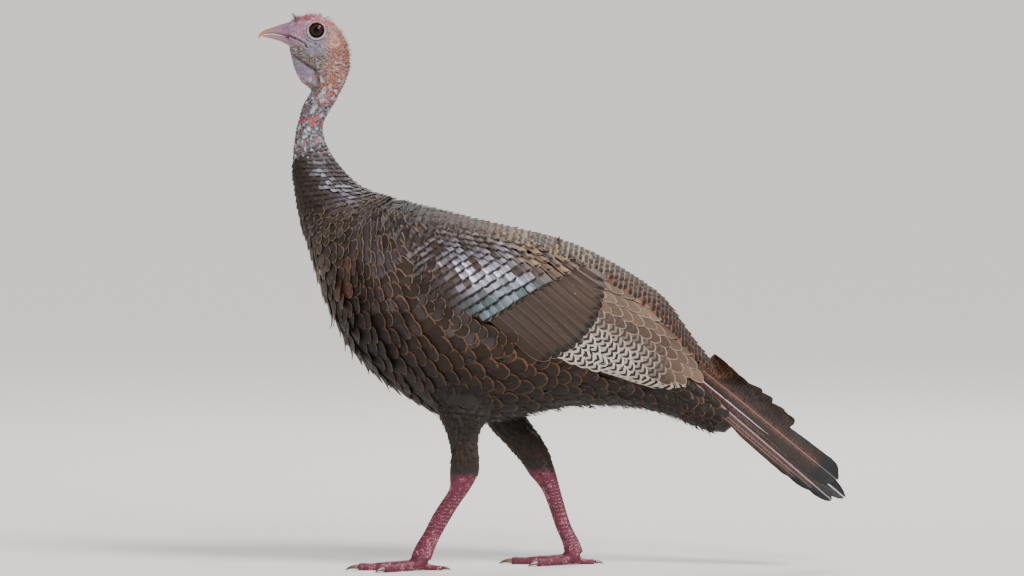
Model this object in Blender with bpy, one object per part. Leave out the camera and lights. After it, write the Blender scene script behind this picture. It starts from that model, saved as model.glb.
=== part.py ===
"""A life-size hen wild turkey, standing in mid stride, as a set of closed solids.

Frame: metres, +Z up, the bird faces -X, its left side is -Y. The floor is z = 0.
The body is one smooth loft from the face to the rump, parted into head, neck and
trunk. Wings lie on the trunk, thighs and tail come out of it.
Sizes below are millimetres, turned to metres by MM.
"""

import math

import bmesh
import bpy
from mathutils import Matrix, Vector
from mathutils.bvhtree import BVHTree

MM = 0.001
PART_GAP = 0.3          # left between two solids that meet
SOCKET_GAP = 0.35       # left between an eyeball and its socket

# Driving sizes
EYE_RADIUS = 8.2
EYE_CENTRE = (-286.0, 9.2, 645.0)
SHANK_SPREAD = 41.0     # each foot's distance from the middle plane
HIP_SPREAD = 50.0       # each thigh's distance from the middle plane, at the hip
WING_PAD = 9.0          # how far a folded wing stands out of the trunk
WING_RIM = 2.6          # thickness of the folded wing at its edges
TAIL_FEATHERS = 5       # tips that show on each half of the folded tail

# Stations of the body, from the face to the rump. Each ring stands on a line from
# the throat, breast or belly (front x, z) to the crown or back (back x, z), and
# has a half width and an egg factor: above 0, the ring is narrower at its front.
BODY = {
    "face": ((-319, 626), (-319, 655), 8.0, 0.10),
    "brow": ((-317, 616), (-306, 661), 12.0, 0.28),
    "crown": ((-313, 600), (-288, 665), 15.5, 0.38),
    "ear": ((-306, 585), (-268, 656), 16.5, 0.38),
    "skull_back": ((-296, 577), (-253, 636), 16.3, 0.30),
    "nape": ((-292, 574), (-247, 613), 15.5, 0.22),
    "nape_low": ((-293, 571), (-249, 592), 14.5, 0.14),
    "throat": ((-295, 567), (-258, 572), 13.6, 0.08),
    "neck_1": ((-302, 556), (-268, 554), 13.0, 0.04),
    "neck_2": ((-306, 542), (-276, 541), 12.6, 0.0),
    "neck_3": ((-310, 528), (-280, 528), 13.0, 0.0),
    "neck_4": ((-313, 511), (-277, 514), 15.0, 0.0),
    "neck_5": ((-316, 494), (-268, 497), 20.0, 0.0),
    "neck_6": ((-317, 475), (-251, 475), 29.0, 0.0),
    "neck_7": ((-314, 451), (-230, 458), 40.0, 0.0),
    "crop": ((-308, 415), (-202, 448), 54.0, 0.02),
    "breast_1": ((-296, 374), (-173, 440), 68.0, 0.04),
    "breast_2": ((-281, 325), (-139, 432), 82.0, 0.06),
    "breast_3": ((-253, 266), (-101, 422), 92.0, 0.08),
    "keel_1": ((-211, 223), (-61, 413), 97.0, 0.10),
    "keel_2": ((-160, 190), (-19, 403), 98.0, 0.12),
    "belly_1": ((-103, 170), (24, 390), 95.0, 0.12),
    "belly_2": ((-43, 180), (62, 372), 89.0, 0.10),
    "belly_3": ((17, 192), (101, 348), 79.0, 0.08),
    "vent": ((79, 193), (134, 323), 64.0, 0.04),
    "rump": ((131, 184), (163, 281), 47.0, 0.0),
    "tail_root": ((173, 166), (191, 246), 30.0, 0.0),
    "coverts": ((204, 160), (214, 213), 16.0, 0.0),
    "coverts_end": ((220, 177), (224, 198), 7.0, 0.0),
}

# Left and right leg: front and back point of each ring, and its half width.
LEFT_THIGH = (
    ((-139, 235), (-43, 235), 26.0),
    ((-144, 196), (-74, 187), 24.0),
    ((-132, 166), (-90, 166), 18.0),
    ((-126, 142), (-91, 142), 14.0),
    ((-127, 120), (-90, 125), 12.0),
    ((-126, 104), (-92, 115), 10.5),
)
LEFT_SHANK = (
    ((-126, 104), (-92, 115), 10.5),
    ((-128, 95), (-103, 96), 9.0),
    ((-138, 80), (-115, 79), 7.0),
    ((-148, 64), (-126, 61), 6.4),
    ((-157, 46), (-137, 42), 6.4),
    ((-167, 30), (-145, 24), 7.4),
    ((-173, 16), (-149, 12), 8.2),
)
RIGHT_THIGH = (
    ((-103, 226), (-19, 235), 26.0),
    ((-86, 172), (-37, 188), 22.0),
    ((-64, 148), (-18, 158), 17.0),
    ((-43, 125), (-7, 137), 13.5),
    ((-30, 107), (0, 115), 10.8),
)
RIGHT_SHANK = (
    ((-30, 107), (0, 115), 10.8),
    ((-17, 92), (5, 95), 8.4),
    ((-8, 71), (11, 73), 6.6),
    ((1, 44), (19, 47), 6.4),
    ((9, 26), (29, 28), 7.4),
    ((11, 13), (34, 15), 8.2),
)

# Toes: heading from straight ahead (positive is outwards), length, and radius at
# the ball and at the claw.
TOES = {
    "inner": (-34.0, 50.0, 6.2, 4.4),
    "middle": (2.0, 72.0, 6.8, 4.6),
    "outer": (38.0, 52.0, 6.2, 4.4),
    "hind": (172.0, 25.0, 4.6, 3.4),
}
TOE_SINK = 1.1          # how much of each toe's underside is flattened by the floor
CLAW_LENGTH = {"inner": 11.0, "middle": 13.0, "outer": 11.0, "hind": 9.0}

# Folded wing, shoulder to tip: lower and upper edge of each station.
WING = (
    ((-166, 356), (-163, 366)),
    ((-149, 326), (-143, 394)),
    ((-113, 302), (-103, 401)),
    ((-71, 280), (-49, 394)),
    ((-31, 259), (5, 377)),
    ((11, 242), (53, 356)),
    ((59, 227), (95, 328)),
    ((107, 217), (131, 296)),
    ((151, 212), (163, 262)),
    ((178, 215), (183, 241)),
)

# Folded tail: a roof of feathers, with its ridge at the top.
TAIL_ROOT = (160.0, 258.0)
TAIL_TIP = (356.0, 97.0)
TAIL_HALF_WIDTH = (26.0, 34.0)   # at the root and at the tip
# From root to tip: how far the ridge arches up, and ridge to lower edge
TAIL_ARCH_AND_DROP = ((0, 38), (3.5, 41), (7, 43), (10, 45.5), (11.5, 46), (1, 31))
TAIL_THICK = (4.5, 1.4)

BEAK_UPPER = (
    ((-319.4, 637.2), (-319.4, 654.6), 7.5),
    ((-329, 639.2), (-329, 652), 6.3),
    ((-338, 641), (-338, 649), 5.0),
    ((-348, 640.6), (-348, 645.6), 3.0),
    ((-353.6, 637.6), (-354.6, 641.6), 1.6),
    ((-355.6, 635.0), (-356.6, 636.6), 0.6),
)
BEAK_LOWER = (
    ((-319.4, 627), (-319.4, 636.4), 6.8),
    ((-330, 632), (-330, 638.4), 5.0),
    ((-340, 635), (-340, 639.9), 3.6),
    ((-347, 636.6), (-347, 639.6), 2.0),
    ((-351.0, 637.4), (-351.4, 638.6), 0.7),
)
SNOOD = ((-308, 652, 0), (-311.5, 660, 0.6), (-315, 665.5, 1.0))
SNOOD_RADII = (3.2, 2.2, 1.1)


def clear_scene():
    for thing in list(bpy.data.objects):
        bpy.data.objects.remove(thing)


def principled(name, colour, roughness, metallic=0.0):
    finish = bpy.data.materials.new(name)
    finish.use_nodes = True
    shader = finish.node_tree.nodes["Principled BSDF"]
    shader.inputs["Base Color"].default_value = (*colour, 1.0)
    shader.inputs["Roughness"].default_value = roughness
    shader.inputs["Metallic"].default_value = metallic
    return finish


def make_finishes():
    return {
        "plumage": principled("plumage", (0.10, 0.065, 0.045), 0.6),
        "wing": principled("wing", (0.17, 0.12, 0.09), 0.5),
        "tail": principled("tail", (0.09, 0.05, 0.035), 0.55),
        "thigh": principled("thigh_feather", (0.07, 0.045, 0.035), 0.75),
        "head_skin": principled("head_skin", (0.42, 0.22, 0.22), 0.55),
        "leg_scale": principled("leg_scale", (0.42, 0.09, 0.12), 0.45),
        "beak": principled("beak", (0.55, 0.38, 0.26), 0.35),
        "claw": principled("claw", (0.13, 0.09, 0.07), 0.4),
        "eye": principled("eye", (0.05, 0.02, 0.012), 0.08),
    }


def catmull(before, start, end, after, share):
    """A point on the smooth curve from start to end."""
    return 0.5 * (
        2 * start
        + (end - before) * share
        + (2 * before - 5 * start + 4 * end - after) * share**2
        + (3 * start - before - 3 * end + after) * share**3
    )


def smooth_row(rows, where):
    """The row of numbers at place where, counted in stations, on smooth curves."""
    index = min(int(where), len(rows) - 2)
    share = where - index
    near = [rows[max(0, min(len(rows) - 1, index + k))] for k in (-1, 0, 1, 2)]
    return [catmull(*values, share) for values in zip(*near)]


def flat_row(station):
    """A station's (front, back, half width, egg) as one row of numbers."""
    front, back, half_width, *egg = station
    return [*front, *back, half_width, *(egg or [0.0])]


def egg_ring(row, sides, side_offset=0.0):
    """A closed egg-shaped ring on a station, starting at its front point."""
    front = Vector((row[0], 0, row[1]))
    back = Vector((row[2], 0, row[3]))
    half_width, egg = row[4], row[5]
    ring = []
    for step in range(sides):
        angle = 2 * math.pi * step / sides
        along = (1 - math.cos(angle)) / 2
        wide = math.sin(angle) * (1 - egg * math.cos(angle))
        point = front.lerp(back, along)
        point.y = side_offset - half_width * wide
        ring.append(point)
    return ring


def solid_object(name, mesh_builder, finish):
    """Closes off a bmesh in millimetres as an object in metres, faces outwards."""
    bmesh.ops.recalc_face_normals(mesh_builder, faces=mesh_builder.faces)
    if mesh_builder.calc_volume(signed=True) < 0:
        bmesh.ops.reverse_faces(mesh_builder, faces=mesh_builder.faces)
    bmesh.ops.scale(mesh_builder, vec=(MM, MM, MM), verts=mesh_builder.verts)
    mesh = bpy.data.meshes.new(name)
    mesh_builder.to_mesh(mesh)
    mesh_builder.free()
    thing = bpy.data.objects.new(name, mesh)
    bpy.context.scene.collection.objects.link(thing)
    thing.data.materials.append(finish)
    thing.data.shade_smooth()
    thing.data.set_sharp_from_angle(angle=math.radians(50))
    return thing


def close_end(builder, ring):
    """A fan of triangles from a ring's middle."""
    middle = builder.verts.new(sum((v.co for v in ring), Vector()) / len(ring))
    for k, corner in enumerate(ring):
        builder.faces.new((middle, corner, ring[(k + 1) % len(ring)]))


def loft(name, rings, finish):
    """A closed tube through rings of equal length."""
    builder = bmesh.new()
    rows = [[builder.verts.new(point) for point in ring] for ring in rings]
    for one, two in zip(rows, rows[1:]):
        for k in range(len(one)):
            after = (k + 1) % len(one)
            builder.faces.new((one[k], one[after], two[after], two[k]))
    close_end(builder, rows[0])
    close_end(builder, rows[-1])
    return solid_object(name, builder, finish)


def sheet(name, upper, lower, finish):
    """A closed plate between two grids of points of the same shape."""
    builder = bmesh.new()
    top = [[builder.verts.new(p) for p in row] for row in upper]
    bottom = [[builder.verts.new(p) for p in row] for row in lower]
    rows, columns = len(top), len(top[0])
    for grid in (top, bottom):
        for i in range(rows - 1):
            for j in range(columns - 1):
                corners = (grid[i][j], grid[i][j + 1], grid[i + 1][j + 1], grid[i + 1][j])
                builder.faces.new(corners)
    rim = [(0, j) for j in range(columns - 1)]
    rim += [(i, columns - 1) for i in range(rows - 1)]
    rim += [(rows - 1, j) for j in range(columns - 1, 0, -1)]
    rim += [(i, 0) for i in range(rows - 1, 0, -1)]
    for k, (i, j) in enumerate(rim):
        m, n = rim[(k + 1) % len(rim)]
        builder.faces.new((top[i][j], top[m][n], bottom[m][n], bottom[i][j]))
    return solid_object(name, builder, finish)


def as_cutter(thing):
    thing.hide_render = True
    thing.display_type = "WIRE"
    thing.data.materials.clear()
    return thing


def grown_copy(thing, by):
    """A cutter: the same solid with every face moved out by some millimetres."""
    builder = bmesh.new()
    builder.from_mesh(thing.data)
    builder.normal_update()
    for vertex in builder.verts:
        vertex.co += vertex.normal * (by * MM * vertex.calc_shell_factor())
    mesh = bpy.data.meshes.new(thing.name + "_cutter")
    builder.to_mesh(mesh)
    builder.free()
    cutter = bpy.data.objects.new(mesh.name, mesh)
    bpy.context.scene.collection.objects.link(cutter)
    return as_cutter(cutter)


def cut(thing, cutter, how="DIFFERENCE"):
    boolean = thing.modifiers.new(cutter.name, "BOOLEAN")
    boolean.operation = how
    boolean.object = cutter
    return thing


def body_part(name, first, last, sides, steps, finish, ends=(0.0, 0.0)):
    """The stretch of the body's loft between two named stations.

    ends moves its first and last ring inwards by a share of a station, which
    leaves the thin cut between it and its neighbour.
    """
    names = list(BODY)
    rows = [flat_row(BODY[key]) for key in names]
    start = names.index(first) + ends[0]
    end = names.index(last) - ends[1]
    count = round((end - start) * steps)
    places = [start + (end - start) * k / count for k in range(count + 1)]
    return loft(name, [egg_ring(smooth_row(rows, at), sides) for at in places], finish)


def make_body(finishes):
    """Head, neck and trunk, parted by thin cuts across the loft."""
    head = body_part("head", "face", "throat", 20, 2, finishes["head_skin"])
    body_part("neck_upper", "throat", "neck_4", 18, 2, finishes["head_skin"],
              ends=(0.03, 0.0))
    body_part("neck_lower", "neck_4", "crop", 24, 2, finishes["plumage"],
              ends=(0.025, 0.0))
    trunk = body_part("trunk", "crop", "coverts_end", 28, 2, finishes["plumage"],
                      ends=(0.012, 0.0))
    return head, trunk


def ball(name, centre, radius, segments, rings, finish=None):
    builder = bmesh.new()
    bmesh.ops.create_uvsphere(
        builder, u_segments=segments, v_segments=rings, radius=radius,
        matrix=Matrix.Translation(centre) @ Matrix.Rotation(math.pi / 2, 4, "X"),
    )
    return solid_object(name, builder, finish)


def make_eyes(head, finishes):
    """Two eyeballs, each in a round socket cut into the head."""
    x, y, z = EYE_CENTRE
    for side, name in ((-1, "left"), (1, "right")):
        centre = (x, side * y, z)
        ball(f"eye_{name}", centre, EYE_RADIUS, 14, 8, finishes["eye"])
        socket = ball(f"socket_{name}", centre, EYE_RADIUS + SOCKET_GAP, 14, 8)
        cut(head, as_cutter(socket))


def make_beak(finishes):
    for name, stations in (("beak_upper", BEAK_UPPER), ("beak_lower", BEAK_LOWER)):
        rings = [egg_ring(flat_row(station), 14) for station in stations]
        loft(name, rings, finishes["beak"])


def round_ring(centre, direction, radius, sides):
    turn = direction.to_track_quat("Z", "Y")
    angles = [2 * math.pi * k / sides for k in range(sides)]
    return [centre + turn @ Vector((math.cos(a), math.sin(a), 0)) * radius for a in angles]


def make_snood(head_cutter, finishes):
    """The hen's short snood: a soft horn over the beak's base."""
    points = [Vector((x, y, z)) for x, z, y in SNOOD]
    rings = []
    for k, point in enumerate(points):
        ahead = points[min(k + 1, 2)] - points[max(k - 1, 0)]
        rings.append(round_ring(point, ahead.normalized(), SNOOD_RADII[k], 8))
    cut(loft("snood", rings, finishes["head_skin"]), head_cutter)


def limb(name, stations, spreads, side, sides, steps, finish, trim=(0.0, 0.0)):
    """A thigh or shank: spreads gives its distance from the middle at both ends."""
    rows = [flat_row(station) for station in stations]
    last = len(rows) - 1
    rings = []
    count = round(last * steps)
    for k in range(count + 1):
        at = trim[0] + (last - trim[0] - trim[1]) * k / count
        across = spreads[0] + (spreads[1] - spreads[0]) * at / last
        rings.append(egg_ring(smooth_row(rows, at), sides, side * across))
    return loft(name, rings, finish)


def toe_points(ball_at, heading, length, radii):
    """Centre line and radii of a toe that comes down from the ball to the floor."""
    ahead = Vector((-math.cos(heading), math.sin(heading), 0))
    steps = 5
    points = []
    for k in range(steps + 1):
        share = k / steps
        knuckle = 1 + 0.07 * math.cos(share * 3 * 2 * math.pi)
        radius = (radii[0] + (radii[1] - radii[0]) * share) * knuckle
        low = radius - TOE_SINK
        height = low + (ball_at.z - low) * max(0.0, 1 - share * 2.4) ** 2
        point = Vector((ball_at.x, ball_at.y, height)) + ahead * (length * share)
        points.append((point, radius))
    return points, ahead


def make_foot(name, side, ball_at, finishes):
    """Four toes joined at the ball, flat under the toes, with a claw on each."""
    foot = ball(f"foot_{name}", ball_at, 9.0, 12, 8, finishes["leg_scale"])
    for toe, (heading, length, *radii) in TOES.items():
        heading_now = math.radians(heading) * side
        points, ahead = toe_points(ball_at, heading_now, length, radii)
        rings = []
        for k, (point, radius) in enumerate(points):
            rings.append(round_ring(point, ahead, radius, 8))
        tip, radius = points[-1]
        rings.append(round_ring(tip + ahead * radius * 0.5, ahead, radius * 0.72, 8))
        cut(foot, as_cutter(loft(f"toe_{toe}_{name}", rings, None)), "UNION")
        make_claw(f"claw_{toe}_{name}", tip, ahead, radius, CLAW_LENGTH[toe], finishes)
    floor = as_cutter(block(f"floor_{name}", ball_at, (240, 240, 40)))
    cut(foot, floor)
    return foot


def block(name, ball_at, size):
    """A box whose top face is the floor, below a foot."""
    builder = bmesh.new()
    place = Matrix.Translation((ball_at.x, ball_at.y, -size[2] / 2))
    bmesh.ops.create_cube(builder, size=1, matrix=place @ Matrix.Diagonal((*size, 1)))
    return solid_object(name, builder, None)


def make_claw(name, tip, ahead, radius, length, finishes):
    """A blunt curved claw just ahead of its toe's end."""
    start = tip + ahead * (radius * 0.5 + PART_GAP)
    reach = length + radius * 0.3
    rings = []
    steps = 4
    for k in range(steps + 1):
        share = k / steps
        thick = radius * 0.56 * (1 - share) ** 0.7 + 0.5
        height = (start.z + 0.6) * (1 - share**1.8) + (thick + 0.2) * share**1.8
        point = Vector((start.x, start.y, height)) + ahead * (reach * share)
        rings.append(round_ring(point, ahead, min(thick, height - 0.1), 6))
    loft(name, rings, finishes["claw"])


def make_leg(name, side, thigh_stations, shank_stations, trunk_cutter, finishes):
    """Thigh out of the trunk, scaly shank, and foot, down one leg."""
    thigh = limb(f"thigh_{name}", thigh_stations, (HIP_SPREAD, SHANK_SPREAD + 2), side,
                 16, 2, finishes["thigh"], trim=(0.0, 0.03))
    cut(thigh, trunk_cutter)
    shank = limb(f"shank_{name}", shank_stations, (SHANK_SPREAD + 2, SHANK_SPREAD), side,
                 12, 2, finishes["leg_scale"])
    front, back, half_width = shank_stations[-1]
    ball_at = Vector(((front[0] + back[0]) / 2 - 1, side * SHANK_SPREAD, 9.4))
    foot = make_foot(name, side, ball_at, finishes)
    cut(foot, grown_copy(shank, PART_GAP))


def trunk_surface(trunk):
    """A function that gives the trunk's half width in mm at a place (x, z) in mm."""
    builder = bmesh.new()
    builder.from_mesh(trunk.data)
    tree = BVHTree.FromBMesh(builder)
    builder.free()

    def half_width(x, z):
        hit = tree.ray_cast(Vector((x * MM, 1.0, z * MM)), Vector((0, -1, 0)))[0]
        return hit.y / MM if hit else 0.0

    return half_width


def make_wing(name, side, half_width, cutters, finishes):
    """A folded wing: a pad that follows the trunk, thin at its edges."""
    rows = [[*low, *high] for low, high in WING]
    across, along = 10, 18
    least = 22.0        # the wing's inner side stays this far from the middle plane
    outer, inner = [], []
    for i in range(along + 1):
        at = (len(rows) - 1) * i / along
        low_x, low_z, high_x, high_z = smooth_row(rows, at)
        outer_row, inner_row = [], []
        for j in range(across + 1):
            share = j / across
            x = low_x + (high_x - low_x) * share
            z = low_z + (high_z - low_z) * share
            crown = max(0.0, 1 - (2 * share - 1) ** 2) ** 0.6
            fullness = min(1.0, 4 * i / along + 0.15, 4 * (1 - i / along) + 0.25)
            depth = WING_RIM + (WING_PAD - WING_RIM) * crown * fullness
            base = max(half_width(x, z), least)
            outer_row.append(Vector((x, side * (base + depth), z)))
            inner_row.append(Vector((x, side * (base - 3.0), z)))
        outer.append(outer_row)
        inner.append(inner_row)
    wing = sheet(f"wing_{name}", outer, inner, finishes["wing"])
    for cutter in cutters:
        cut(wing, cutter)


def tail_point(across, along, lift):
    """A point of the folded tail. across runs from -1 to 1 over the ridge."""
    root, tip = Vector((TAIL_ROOT[0], 0, TAIL_ROOT[1])), Vector((TAIL_TIP[0], 0, TAIL_TIP[1]))
    axis = (tip - root).normalized()
    up = Vector((-axis.z, 0, axis.x))
    wide = TAIL_HALF_WIDTH[0] + (TAIL_HALF_WIDTH[1] - TAIL_HALF_WIDTH[0]) * along
    arch, drop = smooth_row(TAIL_ARCH_AND_DROP, 5 * min(1.0, along))
    point = root + axis * ((tip - root).length * along)
    point += up * (arch + lift - drop * abs(across) ** 1.35)
    point.y = math.copysign(wide * abs(across) ** 0.9, across)
    return point


def make_tail(trunk_cutter, finishes):
    """The folded tail as one plate, with rounded feather tips along its end."""
    per_feather, rows = 3, 7
    columns = 2 * TAIL_FEATHERS * per_feather
    upper, lower = [], []
    for i in range(rows + 1):
        along = i / rows
        thick = TAIL_THICK[0] + (TAIL_THICK[1] - TAIL_THICK[0]) * along
        upper_row, lower_row = [], []
        for j in range(columns + 1):
            across = 2 * j / columns - 1
            phase = abs(across) * TAIL_FEATHERS % 1.0
            tip_round = 0.035 * (2 * phase - 1) ** 2
            reach = 0.05 * math.sin(0.75 * math.pi * abs(across))
            length = 1.0 + reach - tip_round
            upper_row.append(tail_point(across, along * length, 0.0))
            lower_row.append(tail_point(across, along * length, -thick))
        upper.append(upper_row)
        lower.append(lower_row)
    tail = sheet("tail", upper, lower, finishes["tail"])
    cut(tail, trunk_cutter)
    return tail


def centre_on_floor():
    """Moves everything sideways, so that the origin is under the box's middle."""
    bpy.context.view_layer.update()
    graph = bpy.context.evaluated_depsgraph_get()
    low, high = [math.inf] * 2, [-math.inf] * 2
    for thing in bpy.context.scene.objects:
        if thing.hide_render or thing.type != "MESH":
            continue
        shape = thing.evaluated_get(graph)
        for corner in shape.data.vertices:
            for k in range(2):
                low[k] = min(low[k], corner.co[k])
                high[k] = max(high[k], corner.co[k])
    shift = Vector((-(low[0] + high[0]) / 2, -(low[1] + high[1]) / 2, 0))
    root = bpy.data.objects.new("turkey", None)
    bpy.context.scene.collection.objects.link(root)
    for thing in list(bpy.context.scene.objects):
        if thing is not root:
            thing.parent = root
    root.location = shift


def main():
    clear_scene()
    finishes = make_finishes()
    head, trunk = make_body(finishes)
    trunk_cutter = grown_copy(trunk, PART_GAP)
    head_cutter = grown_copy(head, PART_GAP)
    make_eyes(head, finishes)
    make_beak(finishes)
    make_snood(head_cutter, finishes)
    make_leg("left", -1, LEFT_THIGH, LEFT_SHANK, trunk_cutter, finishes)
    make_leg("right", 1, RIGHT_THIGH, RIGHT_SHANK, trunk_cutter, finishes)
    tail = make_tail(trunk_cutter, finishes)
    tail_cutter = grown_copy(tail, PART_GAP)
    half_width = trunk_surface(trunk)
    for name, side in (("left", -1), ("right", 1)):
        make_wing(name, side, half_width, (trunk_cutter, tail_cutter), finishes)
    centre_on_floor()


main()
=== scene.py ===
import math

import bmesh
import bpy
import numpy as np
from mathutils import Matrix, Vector, noise
from mathutils.bvhtree import BVHTree


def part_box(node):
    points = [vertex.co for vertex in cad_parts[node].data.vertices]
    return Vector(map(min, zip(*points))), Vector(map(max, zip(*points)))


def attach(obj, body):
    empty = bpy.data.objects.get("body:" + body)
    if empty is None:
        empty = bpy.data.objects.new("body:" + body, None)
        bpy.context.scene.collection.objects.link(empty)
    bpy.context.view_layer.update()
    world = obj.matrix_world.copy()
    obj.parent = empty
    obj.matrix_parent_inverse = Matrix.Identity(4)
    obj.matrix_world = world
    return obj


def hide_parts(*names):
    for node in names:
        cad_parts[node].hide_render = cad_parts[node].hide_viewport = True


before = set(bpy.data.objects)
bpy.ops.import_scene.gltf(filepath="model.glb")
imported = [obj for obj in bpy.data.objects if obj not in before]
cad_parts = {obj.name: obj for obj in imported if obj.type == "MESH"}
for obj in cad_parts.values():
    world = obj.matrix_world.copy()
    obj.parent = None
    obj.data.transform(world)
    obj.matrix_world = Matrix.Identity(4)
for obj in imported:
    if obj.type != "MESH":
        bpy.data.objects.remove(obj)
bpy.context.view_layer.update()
bpy.ops.object.select_all(action="DESELECT")
mm = 0.001
rng = np.random.default_rng(26)
print("frame loaded")


def linear(hexColour):
    channels = [int(hexColour[k:k + 2], 16) / 255 for k in (1, 3, 5)]
    return [c / 12.92 if c <= 0.04045 else ((c + 0.055) / 1.055) ** 2.4 for c in channels]


def rgba(hexColour):
    return (*linear(hexColour), 1.0)


def addNode(tree, kind, settings=None, inputs=None):
    # settings are the node's own properties, inputs are numbers or sockets to link
    node = tree.nodes.new(kind)
    for key, value in (settings or {}).items():
        setattr(node, key, value)
    for key, value in (inputs or {}).items():
        if isinstance(value, bpy.types.NodeSocket):
            tree.links.new(value, node.inputs[key])
        else:
            node.inputs[key].default_value = value
    return node


def mixers(tree):
    # makers of maths nodes and of colour mixing nodes for one material
    def maths(operation, *values, clamp=False):
        node = addNode(tree, "ShaderNodeMath", {"operation": operation, "use_clamp": clamp},
                       dict(enumerate(values)))
        return node.outputs[0]

    def blend(share, one, two):
        return addNode(tree, "ShaderNodeMix", {"data_type": "RGBA"}, {0: share, 6: one, 7: two}).outputs[2]

    return maths, blend


def newMaterial(name):
    material = bpy.data.materials.new(name)
    material.use_nodes = True
    tree = material.node_tree
    return material, tree, tree.nodes["Principled BSDF"]


def smoothStep(low, high, value):
    share = np.clip((value - low) / (high - low), 0, 1)
    return share * share * (3 - 2 * share)


def bump(value, centre, width):
    return np.exp(-((value - centre) / width) ** 2)


def nodeArrays(*names):
    # the CAD nodes' points and triangles as one pair of arrays
    points, faces, count = [], [], 0
    for name in names:
        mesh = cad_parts[name].data
        coords = np.empty(len(mesh.vertices) * 3)
        mesh.vertices.foreach_get("co", coords)
        corners = np.empty(len(mesh.loops), dtype=np.int64)
        mesh.loops.foreach_get("vertex_index", corners)
        points.append(coords.reshape(-1, 3))
        faces.append(corners.reshape(-1, 3) + count)
        count += len(mesh.vertices)
    return np.vstack(points), np.vstack(faces)


def treeOf(*names):
    points, faces = nodeArrays(*names)
    return BVHTree.FromPolygons(points.tolist(), faces.tolist(), all_triangles=True)


def inBox(node, xShare, zShare):
    # a place in the middle plane, by shares of a CAD node's box
    low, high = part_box(node)
    return np.array([low[0] + (high[0] - low[0]) * xShare, 0, low[2] + (high[2] - low[2]) * zShare])


stageLook = {
    "cameraDistance": 8.0,      # a long lens, so the bird is seen nearly flat
    "cameraElevation": 2.5,
    "frameWidth": 1.229,        # metres across the picture at the bird
    "aim": (-0.053, 0.336),     # x and z at the middle of the picture
    "floorColour": "#E4E1DC",
    "skyColour": "#E9E8E5",
    "floorRadius": 3000,    # far enough that its edge stays at the horizon
    "viewDepth": 4000,
    "skyStrength": 0.66,
    "keyStrength": 3.5,
}


def makeStage(look):
    bpy.ops.mesh.primitive_circle_add(vertices=96, radius=look["floorRadius"], fill_type="NGON")
    floor = bpy.context.object
    floor.name = "studioFloor"
    material, tree, shader = newMaterial("paleStudioFloor")
    shader.inputs["Base Color"].default_value = rgba(look["floorColour"])
    shader.inputs["Roughness"].default_value = 0.85
    floor.data.materials.append(material)

    world = bpy.data.worlds.new("studioSky")
    world.use_nodes = True
    background = world.node_tree.nodes["Background"]
    background.inputs["Color"].default_value = rgba(look["skyColour"])
    background.inputs["Strength"].default_value = look["skyStrength"]
    bpy.context.scene.world = world

    elevation = math.radians(look["cameraElevation"])
    aimX, aimZ = look["aim"]
    distance = look["cameraDistance"]
    place = (aimX, -distance * math.cos(elevation), aimZ + distance * math.sin(elevation))
    bpy.ops.object.camera_add(location=place, rotation=(math.pi / 2 - elevation, 0, 0))
    camera = bpy.context.object
    camera.data.lens = 36 * distance / look["frameWidth"]
    camera.data.clip_end = look["viewDepth"]
    bpy.context.scene.camera = camera

    # a wide soft key from the upper right, a broad fill from the left, and a rim from behind
    bpy.ops.object.light_add(type="SUN", location=(2, -3, 4), rotation=(0.72, 0.42, 0.35))
    keyLight = bpy.context.object
    keyLight.name = "keyLight"
    keyLight.data.energy = look["keyStrength"]
    keyLight.data.angle = 0.35
    for name, place, size, power in (
        ("frontLight", (0.9, -2.6, 1.9), 0.8, 40),
        ("fillLight", (-2.6, -2.2, 1.2), 2.4, 14),
        ("rimLight", (0.5, 2.4, 2.7), 1.5, 60),
    ):
        bpy.ops.object.light_add(type="AREA", location=place)
        light = bpy.context.object
        light.name = name
        light.data.size = size
        light.data.energy = power
        aim = Vector((0, 0, 0.33)) - Vector(place)
        light.rotation_euler = aim.to_track_quat("-Z", "Y").to_euler()
    bpy.ops.object.select_all(action="DESELECT")


makeStage(stageLook)
print("stage made")


class SurfaceMap:
    # grid[i, j] is a point of the outer shape. Rows i run along the lie of the feathers,
    # columns j run across it. wraps is True where the columns close into rings.
    def __init__(self, grid, wraps, outward):
        self.grid = grid
        self.wraps = wraps
        rows, columns = grid.shape[:2]
        if wraps:
            across = np.roll(grid, -1, 1) - np.roll(grid, 1, 1)
        else:
            across = np.gradient(grid, axis=1) * 2
        along = np.gradient(grid, axis=0) * 2
        normal = np.cross(along, across)
        normal /= np.linalg.norm(normal, axis=2, keepdims=True) + 1e-12
        flip = np.sign(np.sum(normal * outward, axis=2, keepdims=True))
        self.normal = normal * np.where(flip == 0, 1, flip)
        self.alongLength = np.linalg.norm(along, axis=2) / 2 * (rows - 1)
        self.acrossLength = np.linalg.norm(across, axis=2) / 2 * (columns if wraps else columns - 1)

    def sample(self, field, s, a):
        # field read between grid points; s and a run from 0 to 1, and s may run past its ends
        rows, columns = self.grid.shape[:2]
        y = s * (rows - 1)
        i = np.clip(np.floor(y).astype(int), 0, rows - 2)
        fy = y - i
        if self.wraps:
            x = (a % 1.0) * columns
            j = np.floor(x).astype(int) % columns
            k = (j + 1) % columns
            fx = x - np.floor(x)
        else:
            x = a * (columns - 1)
            j = np.clip(np.floor(x).astype(int), 0, columns - 2)
            k = j + 1
            fx = x - j
        if field.ndim == 3:
            fx, fy = fx[..., None], fy[..., None]
        low = field[i, j] * (1 - fx) + field[i, k] * fx
        high = field[i + 1, j] * (1 - fx) + field[i + 1, k] * fx
        return low * (1 - fy) + high * fy


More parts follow.
